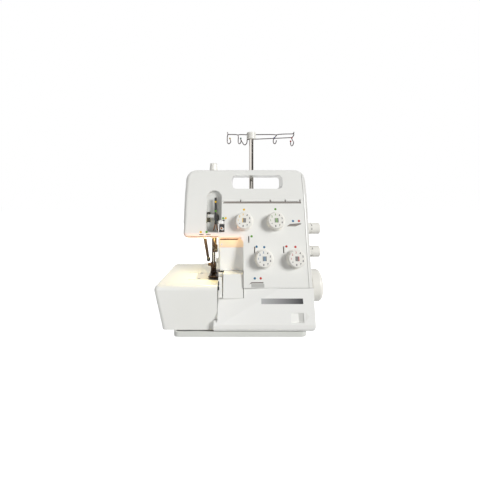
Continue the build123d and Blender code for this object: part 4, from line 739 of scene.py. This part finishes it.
def wind(shape, first, axis_y, axis_z, radius, angle):
    """Wrap flat verts, drawn across X and up Y, round an axis along X."""
    shape.verts.ensure_lookup_table()
    for vert in shape.verts[first:]:
        turn = angle + vert.co.y / (radius * MM)
        reach = radius * MM + vert.co.z
        vert.co.y = axis_y * MM - reach * math.cos(turn)
        vert.co.z = axis_z * MM + reach * math.sin(turn)


flat_place = Matrix.Translation(Vector((KNOB_NUMBERS_X, 0, KNOB_NUMBER_LIFT)) * MM)
for name, (height, words) in SIDE_KNOBS.items():
    marks = bmesh.new()
    for step, word in enumerate(words):
        first = len(marks.verts)
        print_text(marks, word, KNOB_NUMBER_SIZE, flat_place, 0)
        angle = math.radians(KNOB_NUMBER_STEP * (step - 1))
        wind(marks, first, KNOB_AXIS_Y, height, KNOB_RADIUS, angle)
    add_piece(name + "_numbers", marks, name + "_control", "black_plastic", "ink_grey")

# %% [markdown]
# ## The band on the looper cover
# A printed band crosses the looper cover, pale at one end and dark at the other. A thin slab
# carries it. Its finish reads how far along X each point is, so the fade is part of the ink. A
# small raised arrow beside the grip shows which way the cover slides.

# %% Fading band and the arrow beside the grip
BAND_MIDDLE = (68.5, 63.5)
BAND_HALF = (36.0, 4.5)
BAND_FADE = (32.0, 104.0)
BAND_PALE, BAND_DARK = linear(182, 182, 182), linear(36, 36, 38)
ARROW_FOOT = (108.0, 40.0)
ARROW = ((0, -6.5), (6.5, 0), (0, 6.5))
SPECK_SCALE = 900.0
wire, spot = start_finish("ink_band")
fade = ramp_along(wire, spot, "X", *BAND_FADE)
speck = noise(wire, spot, SPECK_SCALE)
shade = fade + (speck - 0.5) * 0.06
surface(wire, Base_Color=blend(wire, shade, BAND_PALE, BAND_DARK), Roughness=0.4)

band = bmesh.new()
slab(band, panel_place(*BAND_MIDDLE), oblong(*BAND_HALF), 0.2, 0, 0.08)
add_piece("cover_band", band, "looper_door", "black_plastic", "ink_band")

arrow = bmesh.new()
slab(arrow, panel_place(*ARROW_FOOT), ARROW, 0.25, 0, 0.1)
add_piece("grip_arrow", arrow, "looper_door", "base_grey", "body_white")

# %% [markdown]
# ## The finger grip
# The cover is slid aside with a fingertip in a small pocket. Its floor falls away to the right and
# then rises again as a slanted wall to push on. The pocket is in the solid; a matt insert gives it
# the slanted wall. The insert's white is a little darker than the cover's: painted shade that tones
# down the light on the pocket's floor. The profile is drawn across and out of the panel, then
# extruded down it.

# %% Insert in the finger grip
# Painted shade: the insert is a darker, matt copy of the cover's white.
moulded("grip_matt_shaded", linear(233, 233, 229), linear(228, 228, 224), 0.6, 0.15)
GRIP_CORNER = (82.5, 45.4)
GRIP_DROP = 15.8
GRIP_PROFILE = ((0.1, -1.1), (0.1, -0.7), (13.5, -4.2), (21.9, -0.5), (21.9, -7.1))
insert = bmesh.new()
slab(insert, panel_place(*GRIP_CORNER) @ FACING, GRIP_PROFILE, GRIP_DROP)
add_piece("grip_insert", insert, "looper_door", "base_grey", "grip_matt_shaded")

# %% [markdown]
# ## The thread tree
# On top of the telescopic tube sits a white hub with bent wires. Each wire ends in an open
# hook with a coloured bead. A wire is easiest as a curve with a round bevel: a smooth spline
# follows a few points and is then made a mesh. One piece holds hub, wires and beads, and it
# stands for the plain solid of the frame.

# %% Bent wires, hub and beads
TUBE_X, TUBE_Y = 24.0, 69.0
WIRE_RADIUS = 1.15
BEAD_RADIUS = 2.1
HUB_FOOT = (TUBE_X, TUBE_Y, 383.0)
HUB_SIDES = 40
HUB_PROFILE = (
    (5.6, 0), (10.4, 0), (11.3, 1), (11.3, 10.6), (11.6, 11),
    (11.6, 14.6), (10.4, 16), (3.0, 16.4), (0, 16.4),
)
WIRES = {
    "left arm": (
        (14.5, 394), (0.5, 394.6), (-5.5, 394.4), (-8.5, 393), (-11.5, 394.4),
        (-21.5, 394.8), (-32.5, 394.6), (-33.9, 396.5), (-34, 400.5),
    ),
    "left hook": (
        (-33, 394.6), (-34.5, 391), (-34.5, 381), (-34.5, 375),
        (-31, 371.2), (-26.5, 375), (-25.9, 380), (-28.1, 385),
    ),
    "second hook": (
        (-8.5, 393.2), (-7.1, 389), (-8.1, 382), (-8.1, 375),
        (-5.1, 371.2), (-1.5, 375), (-0.9, 380), (-1.8, 384.8),
    ),
    "inner hook": (
        (-1.8, 384.8), (0.1, 379), (3.5, 372.5), (7.9, 368.5), (12.5, 372),
        (13.9, 378), (13.3, 382.2), (18.5, 382.6), (28.5, 383),
    ),
    "lower arm": ((18.5, 382.6), (44.5, 383.8), (74.5, 385), (104.5, 386.4), (121.5, 387.2)),
    "right arm": (
        (33.5, 394.4), (54.5, 394.6), (78.5, 394.6), (84.5, 393.4), (88.5, 394.8),
        (104.5, 396), (123.5, 396), (127.3, 397.2), (127.9, 401),
    ),
    "third hook": (
        (86.5, 394), (83.5, 390.5), (79.9, 386), (77.1, 380),
        (77.7, 374), (80.9, 371.6), (84.1, 374.4), (85.1, 380.5),
    ),
    "right hook": (
        (127.5, 397), (127.9, 393), (122.3, 386.2), (123.5, 381), (127.5, 377),
        (125.9, 370), (122.3, 366), (119.1, 370.5), (119.7, 377.9),
    ),
}
BEADS = {
    "bead_yellow": ((-28.1, 385.1),),
    "bead_green": ((-1.8, 385.2),),
    "bead_blue": ((79.9, 386.4),),
    "bead_red": ((122.3, 386.4), (119.7, 378.2)),
}


def bent_wire(points, radius):
    """Smooth round wire through points in X and Z, as a mesh."""
    curve = bpy.data.curves.new("wire", "CURVE")
    curve.dimensions = "3D"
    curve.bevel_depth = radius * MM
    curve.bevel_resolution = 4
    curve.use_fill_caps = True
    spline = curve.splines.new("NURBS")
    spline.points.add(len(points) - 1)
    for point, (x, z) in zip(spline.points, points):
        point.co = (x * MM, TUBE_Y * MM, z * MM, 1.0)
    spline.order_u = 3
    spline.use_endpoint_u = True
    spline.resolution_u = 6
    holder = bpy.data.objects.new("wire", curve)
    mesh = bpy.data.meshes.new_from_object(holder)
    bpy.data.objects.remove(holder)
    bpy.data.curves.remove(curve)
    return mesh


tree = bmesh.new()
for points in WIRES.values():
    mesh = bent_wire(points, WIRE_RADIUS)
    tree.from_mesh(mesh)
    bpy.data.meshes.remove(mesh)
wire_faces = set(tree.faces)
hub_foot = Vector(HUB_FOOT) * MM
profile = [tree.verts.new(hub_foot + Vector((r, 0, h)) * MM) for r, h in HUB_PROFILE]
edges = [tree.edges.new(pair) for pair in zip(profile, profile[1:])]
bmesh.ops.spin(
    tree, geom=profile + edges, cent=hub_foot, axis=(0, 0, 1), angle=2 * math.pi,
    steps=HUB_SIDES, use_merge=True, use_duplicate=False,
)
paint(tree, wire_faces, 1)
for index, (ink, spots) in enumerate(BEADS.items()):
    for x, z in spots:
        old_faces = set(tree.faces)
        place = Matrix.Translation(Vector((x, TUBE_Y, z)) * MM)
        bmesh.ops.create_icosphere(tree, subdivisions=3, radius=BEAD_RADIUS * MM, matrix=place)
        paint(tree, old_faces, 2 + index)
# Wires and beads are shaded smooth. The hub, material 1, keeps its crisp steps.
for face in tree.faces:
    face.smooth = face.material_index != 1
bmesh.ops.remove_doubles(tree, verts=tree.verts, dist=0.00001)
tree_piece = add_piece(
    "thread_tree_wires", tree, "thread_mast", "bright_steel", "wire_steel", "knob_white", *BEADS,
)
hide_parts("thread_tree")

# %% [markdown]
# ## The liner of the take-up slot
# Behind the arched slot sits a pale tub that hides the works. It is shallow at the top and deep
# at the bottom, because the panel leans and the back of the tub stands upright. The outline is
# drawn on the panel, its edges are extruded back to an upright plane, and the end is filled. A
# window is cut on the left where the take-up lever reaches through, and the sheet is given a
# wall.

# %% Slot liner
SLOT_MIDDLE = (-52.75, 178.0)
SLOT_HALF = 14.6
SLOT_RISE = 80.6
SLOT_LIP = 5.7
ARCH_STEPS = 16
LINER_BACK = -63.6
LINER_WALL = 0.8
LEVER_EDGE, LEVER_LOW, LEVER_HIGH = -61.5, 194.0, 214.0
liner = bmesh.new()
liner_place = panel_place(*SLOT_MIDDLE, -SLOT_LIP)
outline = [(-SLOT_HALF, 0.0), (SLOT_HALF, 0.0)]
arch_foot = SLOT_RISE - SLOT_HALF
for step in range(ARCH_STEPS + 1):
    angle = math.pi * step / ARCH_STEPS
    outline.append((SLOT_HALF * math.cos(angle), arch_foot + SLOT_HALF * math.sin(angle)))
mouth = [liner.verts.new(liner_place @ Vector((x * MM, y * MM, 0))) for x, y in outline]
rim = [liner.edges.new(pair) for pair in zip(mouth, mouth[1:] + mouth[:1])]
walls = bmesh.ops.extrude_edge_only(liner, edges=rim)
ends = [item for item in walls["geom"] if isinstance(item, bmesh.types.BMVert)]
for vert in ends:
    vert.co.y = LINER_BACK * MM
wall_edges = [item for item in walls["geom"] if isinstance(item, bmesh.types.BMEdge)]
end_edges = [edge for edge in wall_edges if all(vert in ends for vert in edge.verts)]
bmesh.ops.edgeloop_fill(liner, edges=end_edges)
for spot, normal in (
    ((LEVER_EDGE, 0, 0), (1, 0, 0)),
    ((0, 0, LEVER_LOW), (0, 0, 1)),
    ((0, 0, LEVER_HIGH), (0, 0, 1)),
):
    sheet = liner.verts[:] + liner.edges[:] + liner.faces[:]
    bmesh.ops.bisect_plane(liner, geom=sheet, plane_co=Vector(spot) * MM, plane_no=normal)
opened = []
for face in liner.faces:
    middle = face.calc_center_median() / MM
    if middle.x < LEVER_EDGE and LEVER_LOW < middle.z < LEVER_HIGH:
        opened.append(face)
bmesh.ops.delete(liner, geom=opened, context="FACES")
bmesh.ops.recalc_face_normals(liner, faces=liner.faces)
bmesh.ops.solidify(liner, geom=liner.faces[:], thickness=LINER_WALL * MM)
add_piece("slot_liner", liner, "housing", "black_plastic", "liner_grey")

# %% [markdown]
# ## Small things in the slot
# The take-up lever carries a bead of each needle thread's colour. In the tub behind it are a black
# strip, painted shade for a groove, a short black check lever, and the two legs of the thread fork.
# They face the front, so the matrix that stands a flat shape upright serves for all of them.

# %% Beads, groove, check lever and fork
LEVER_BEAD_X = -50.5
LEVER_BEAD_HEIGHTS = (234.0, 216.5)
GROOVE_SHADE = oblong(0.9, 18.6)
CHECK_LEVER = ((-2, -6), (1.2, -6), (2, -3), (1.2, 6), (-1.2, 6))
LEFT_LEG = ((-1.8, -6.2), (0, -6.2), (2.8, 6.2), (1.0, 6.2))
RIGHT_LEG = ((0, -6.2), (1.8, -6.2), (-1.0, 6.2), (-2.8, 6.2))
SLOT_WORKS = (
    # x and z of the place, outline, thickness, finish number, rounding
    # Painted shade: a black strip where the groove is.
    (-57.4, 219.8, GROOVE_SHADE, 0.5, 0, 0.2),
    (-46.4, 203.0, CHECK_LEVER, 3.0, 0, 0.6),
    (-54.2, 184.6, LEFT_LEG, 2.0, 1, 0.4),
    (-48.4, 184.6, RIGHT_LEG, 2.0, 1, 0.4),
)
lever_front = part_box("take_up_lever")[0].y / MM
lever_dots = bmesh.new()
for index, height in enumerate(LEVER_BEAD_HEIGHTS):
    pad(lever_dots, upright(LEVER_BEAD_X, lever_front, height), 1.9, 0.9, index)
add_piece("lever_beads", lever_dots, "take_up", "black_plastic", "ink_yellow", "ink_green")

works = bmesh.new()
for x, z, corners, thickness, index, round_off in SLOT_WORKS:
    slab(works, upright(x, LINER_BACK, z), corners, thickness, index, round_off)
add_piece("slot_works", works, "housing", "black_plastic", "black_plastic", "lamp_brass")

# %% [markdown]
# ## The pressed thread guide
# Beside the slot a pressed plate carries a white dome with a dark catch over it, and a black
# pad held by a round screw. All of it is built up in layers on the plate that is in the frame.

# %% Guide pad
PLATE_TOP = 1.25
PAD_THICKNESS, SCREW_HEIGHT = 1.1, 0.7
SCREW_PLACE = (-38.2, 185.2)
GUIDE_FINISHES = ("black_plastic", "bright_steel", "lamp_brass", "cover_white")
GUIDE_SLABS = (
    # x and z of the place, height over the plate, half sizes, thickness, finish number, rounding
    (-37.6, 185.7, 0.0, (4.9, 7.1), PAD_THICKNESS, 0, 0.5),
    (-39.6, 196.2, 0.0, (4.4, 3.1), 1.6, 3, 0.9),
    (-34.4, 199.6, 0.0, (1.9, 1.0), 2.2, 0, 0.4),
    (-43.4, 185.7, -1.0, (0.8, 7.1), 2.4, 3, 0.4),
)
guide = bmesh.new()
for x, z, over, half, thickness, index, round_off in GUIDE_SLABS:
    slab(guide, panel_place(x, z, PLATE_TOP + over), oblong(*half), thickness, index, round_off)
screw_foot = PLATE_TOP + PAD_THICKNESS
pad(guide, panel_place(*SCREW_PLACE, screw_foot), 2.8, SCREW_HEIGHT, 1)
pad(guide, panel_place(*SCREW_PLACE, screw_foot + SCREW_HEIGHT), 1.9, 0.3, 2)
add_piece("guide_pad", guide, "housing", "black_plastic", *GUIDE_FINISHES)

# %% [markdown]
# ## Behind the thread channels
# The long channel under the crease and the two wedge-shaped guides do not open into the dark:
# each has a grey strip at its back, a flat slab just inside the panel. Behind the wedges the strip
# stands for the spring plate that grips the thread; in the channel it is only a dark sheet. Their
# grey, and the small marks in the channel's notches, is painted shade. Under the lower guide a thin
# grey tray lies on the panel: painted shade for the recess there. The channel has a raised lip along
# its top, open at the notches.

# %% Painted shade strips, the tray and the lip
SHADE_FINISHES = ("painted_shade_grey", "tray_painted_shade", "black_plastic")
CHANNEL_SHADE = ((-74.4, -1.7), (74.4, -1.7), (74.4, 1.7), (-70, 1.7))
SHADE_STRIPS = [
    # x and z of the place, height over the panel, outline, thickness, finish number, rounding
    # Painted shade: the dark strip in the channel.
    (36.5, 232.7, -2.0, CHANNEL_SHADE, 0.3, 0, 0.1),
    # Painted shade: the grey of the plates behind the two wedges.
    (95.5, 192.0, -3.4, oblong(17.0, 6.0), 0.7, 0, 0.2),
    (25.0, 92.6, -3.4, oblong(17.0, 5.0), 0.7, 0, 0.2),
    # Painted shade: the grey tray on the panel under the lower guide.
    (26.9, 88.2, 0.0, oblong(11.3, 3.0), 0.25, 1, 0.1),
]
# Painted shade: small marks in the channel's notches.
for x in (-3.2, 53.0, 81.3, 109.1):
    SHADE_STRIPS.append((x, 236.0, -2.0, oblong(1.1, 1.6), 0.3, 0, 0.1))
for x in (-75.0, -62.2):
    SHADE_STRIPS.append((x, 174.3, -1.5, oblong(3.9, 0.7), 0.6, 2, 0.1))
shade_strips = bmesh.new()
for x, z, over, corners, thickness, index, round_off in SHADE_STRIPS:
    slab(shade_strips, panel_place(x, z, over), corners, thickness, index, round_off)
add_piece("thread_shade_strips", shade_strips, "housing", "black_plastic", *SHADE_FINISHES)

LIP_FOOT, LIP_RISE = 234.6, 2.6
LIP_SPANS = ((-36.0, -4.6), (-1.8, 51.6), (54.4, 79.9), (82.7, 107.7))
lip = bmesh.new()
for start, end in LIP_SPANS:
    corners = ((0, 0), (end - start, 0), (end - start, LIP_RISE), (0, LIP_RISE))
    slab(lip, panel_place(start, LIP_FOOT), corners, 0.9, 0, 0.7)
add_piece("channel_lip", lip, "housing", "body_white", "body_white")

# %% [markdown]
# ## Round the lamp window
# The window leans forward under the arm. A dark vent runs along its top edge, pointed at the right:
# a flat brown slab on the window, painted shade for the opening, warmed by the lamp behind it. One
# round white screw holds its left side. Its place is found like the panel's, with a lean the other
# way.

# %% Vent and window screw
WINDOW_LEAN = math.radians(-18.0)
WINDOW_FOOT = (-84.0, 149.5)
VENT_MIDDLE = (-23.6, 165.2)
VENT = ((-17.4, -1.2), (14, -1.2), (17.6, 0.6), (16, 1.2), (-17.4, 1.2))
WINDOW_SCREW = (-38.6, 155.2)
vent = bmesh.new()
# Painted shade: the vent is a brown slab on the window, not an opening.
slab(vent, leaning_place(WINDOW_FOOT, WINDOW_LEAN, *VENT_MIDDLE), VENT, 0.3, 0, 0.1)
pad(vent, leaning_place(WINDOW_FOOT, WINDOW_LEAN, *WINDOW_SCREW), 2.2, 0.9, 1)
add_piece("window_trim", vent, "housing", "black_plastic", "vent_painted_shade", "cover_white")

# %% [markdown]
# ## The flap beside the chute
# Left of the chute cover stands a narrow flap, a little further in, with a gap between the two
# that narrows downwards. It leans like the chute cover does. A black seal with a notched edge
# lies on its left side.

# %% Chute flap
CHUTE_FOOT = (-118.63, 67.1)
CHUTE_LEAN = math.atan2(13.06, 38.9)
FLAP_CORNER = (-43.0, 68.0)
FLAP_DEPTH, FLAP_THICKNESS = -3.2, 1.4
FLAP = ((0, 0), (8.3, 0), (6.0, 34), (4.6, 35), (0, 35))
SEAL = ((0, 12.6), (2.0, 12.6), (2.2, 17), (1.1, 19.6), (2.0, 22), (1.8, 27.4), (0, 27.4))
flap = bmesh.new()
flap_place = leaning_place(CHUTE_FOOT, CHUTE_LEAN, *FLAP_CORNER, FLAP_DEPTH)
slab(flap, flap_place, FLAP, FLAP_THICKNESS, 0, 0.5)
seal_place = leaning_place(CHUTE_FOOT, CHUTE_LEAN, *FLAP_CORNER, FLAP_DEPTH + FLAP_THICKNESS)
slab(flap, seal_place, SEAL, 0.6, 1, 0.2)
add_piece("chute_flap", flap, "housing", "body_white", "body_white", "black_plastic")

# %% [markdown]
# ## Round the needle
# The presser lifter ends in a black ball, and two dark screws in the needle clamp hold the
# needles. The ball starts as a sphere of triangles and is drawn out a little along the lever.

# %% Lifter ball and clamp screws
LIFTER_TIP = (-67.5, -42.0, 117.5)
BALL_RADIUS, BALL_STRETCH = 3.9, 1.25
CLAMP_SCREWS = ((-56.0, 144.5), (-51.0, 140.0))
ball = bmesh.new()
ball_place = Matrix.Translation(Vector(LIFTER_TIP) * MM) @ Matrix.Diagonal((1, 1, BALL_STRETCH, 1))
bmesh.ops.create_icosphere(ball, subdivisions=3, radius=BALL_RADIUS * MM, matrix=ball_place)
for face in ball.faces:
    face.smooth = True
add_piece("lifter_ball", ball, "lifter", "black_plastic", "black_plastic")

clamp_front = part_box("needle_clamp")[0].y / MM
clamp_screws = bmesh.new()
for x, z in CLAMP_SCREWS:
    pad(clamp_screws, upright(x, clamp_front, z), 2.2, 1.2)
add_piece("clamp_screws", clamp_screws, "needle_carrier", "bright_steel", "black_plastic")

# %% [markdown]
# ## The presser spring
# Inside the arm a spring pushes the presser bar down. It shortens when the foot is lifted, so it
# is made here as a mesh of its own, apart from the frame's. A small ring, spun round the bar
# while it climbs, makes a helix; the spin operator takes the climb of each step as a vector.

# %% Spring on a mesh of its own
SPRING_FOOT = Vector((-57.5, -39.5, 252.3))
SPRING_HEIGHT = 19.4
SPRING_RADIUS = 2.8
SPRING_WIRE = 0.7
SPRING_TURNS = 5
STEPS = 24 * SPRING_TURNS
spring = bmesh.new()
ring_place = upright(*(SPRING_FOOT + Vector((SPRING_RADIUS, 0, SPRING_WIRE))))
bmesh.ops.create_circle(spring, segments=10, radius=SPRING_WIRE * MM, matrix=ring_place)
climb = (SPRING_HEIGHT - 2 * SPRING_WIRE) / STEPS
bmesh.ops.spin(
    spring, geom=spring.verts[:] + spring.edges[:], cent=SPRING_FOOT * MM, axis=(0, 0, 1),
    dvec=(0, 0, climb * MM), angle=2 * math.pi * SPRING_TURNS, steps=STEPS, use_duplicate=False,
)
bmesh.ops.holes_fill(spring, edges=[edge for edge in spring.edges if edge.is_boundary], sides=0)
for face in spring.faces:
    face.smooth = True
coil = add_piece("presser_coil", spring, "housing", "bright_steel", "bright_steel")
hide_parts("presser_spring")
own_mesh(coil)

# %% [markdown]
# ## Close the lesson
# The dressed model differs from the frame at the top only, where the tips of the tree's wires
# stand a little higher than the plain solid.
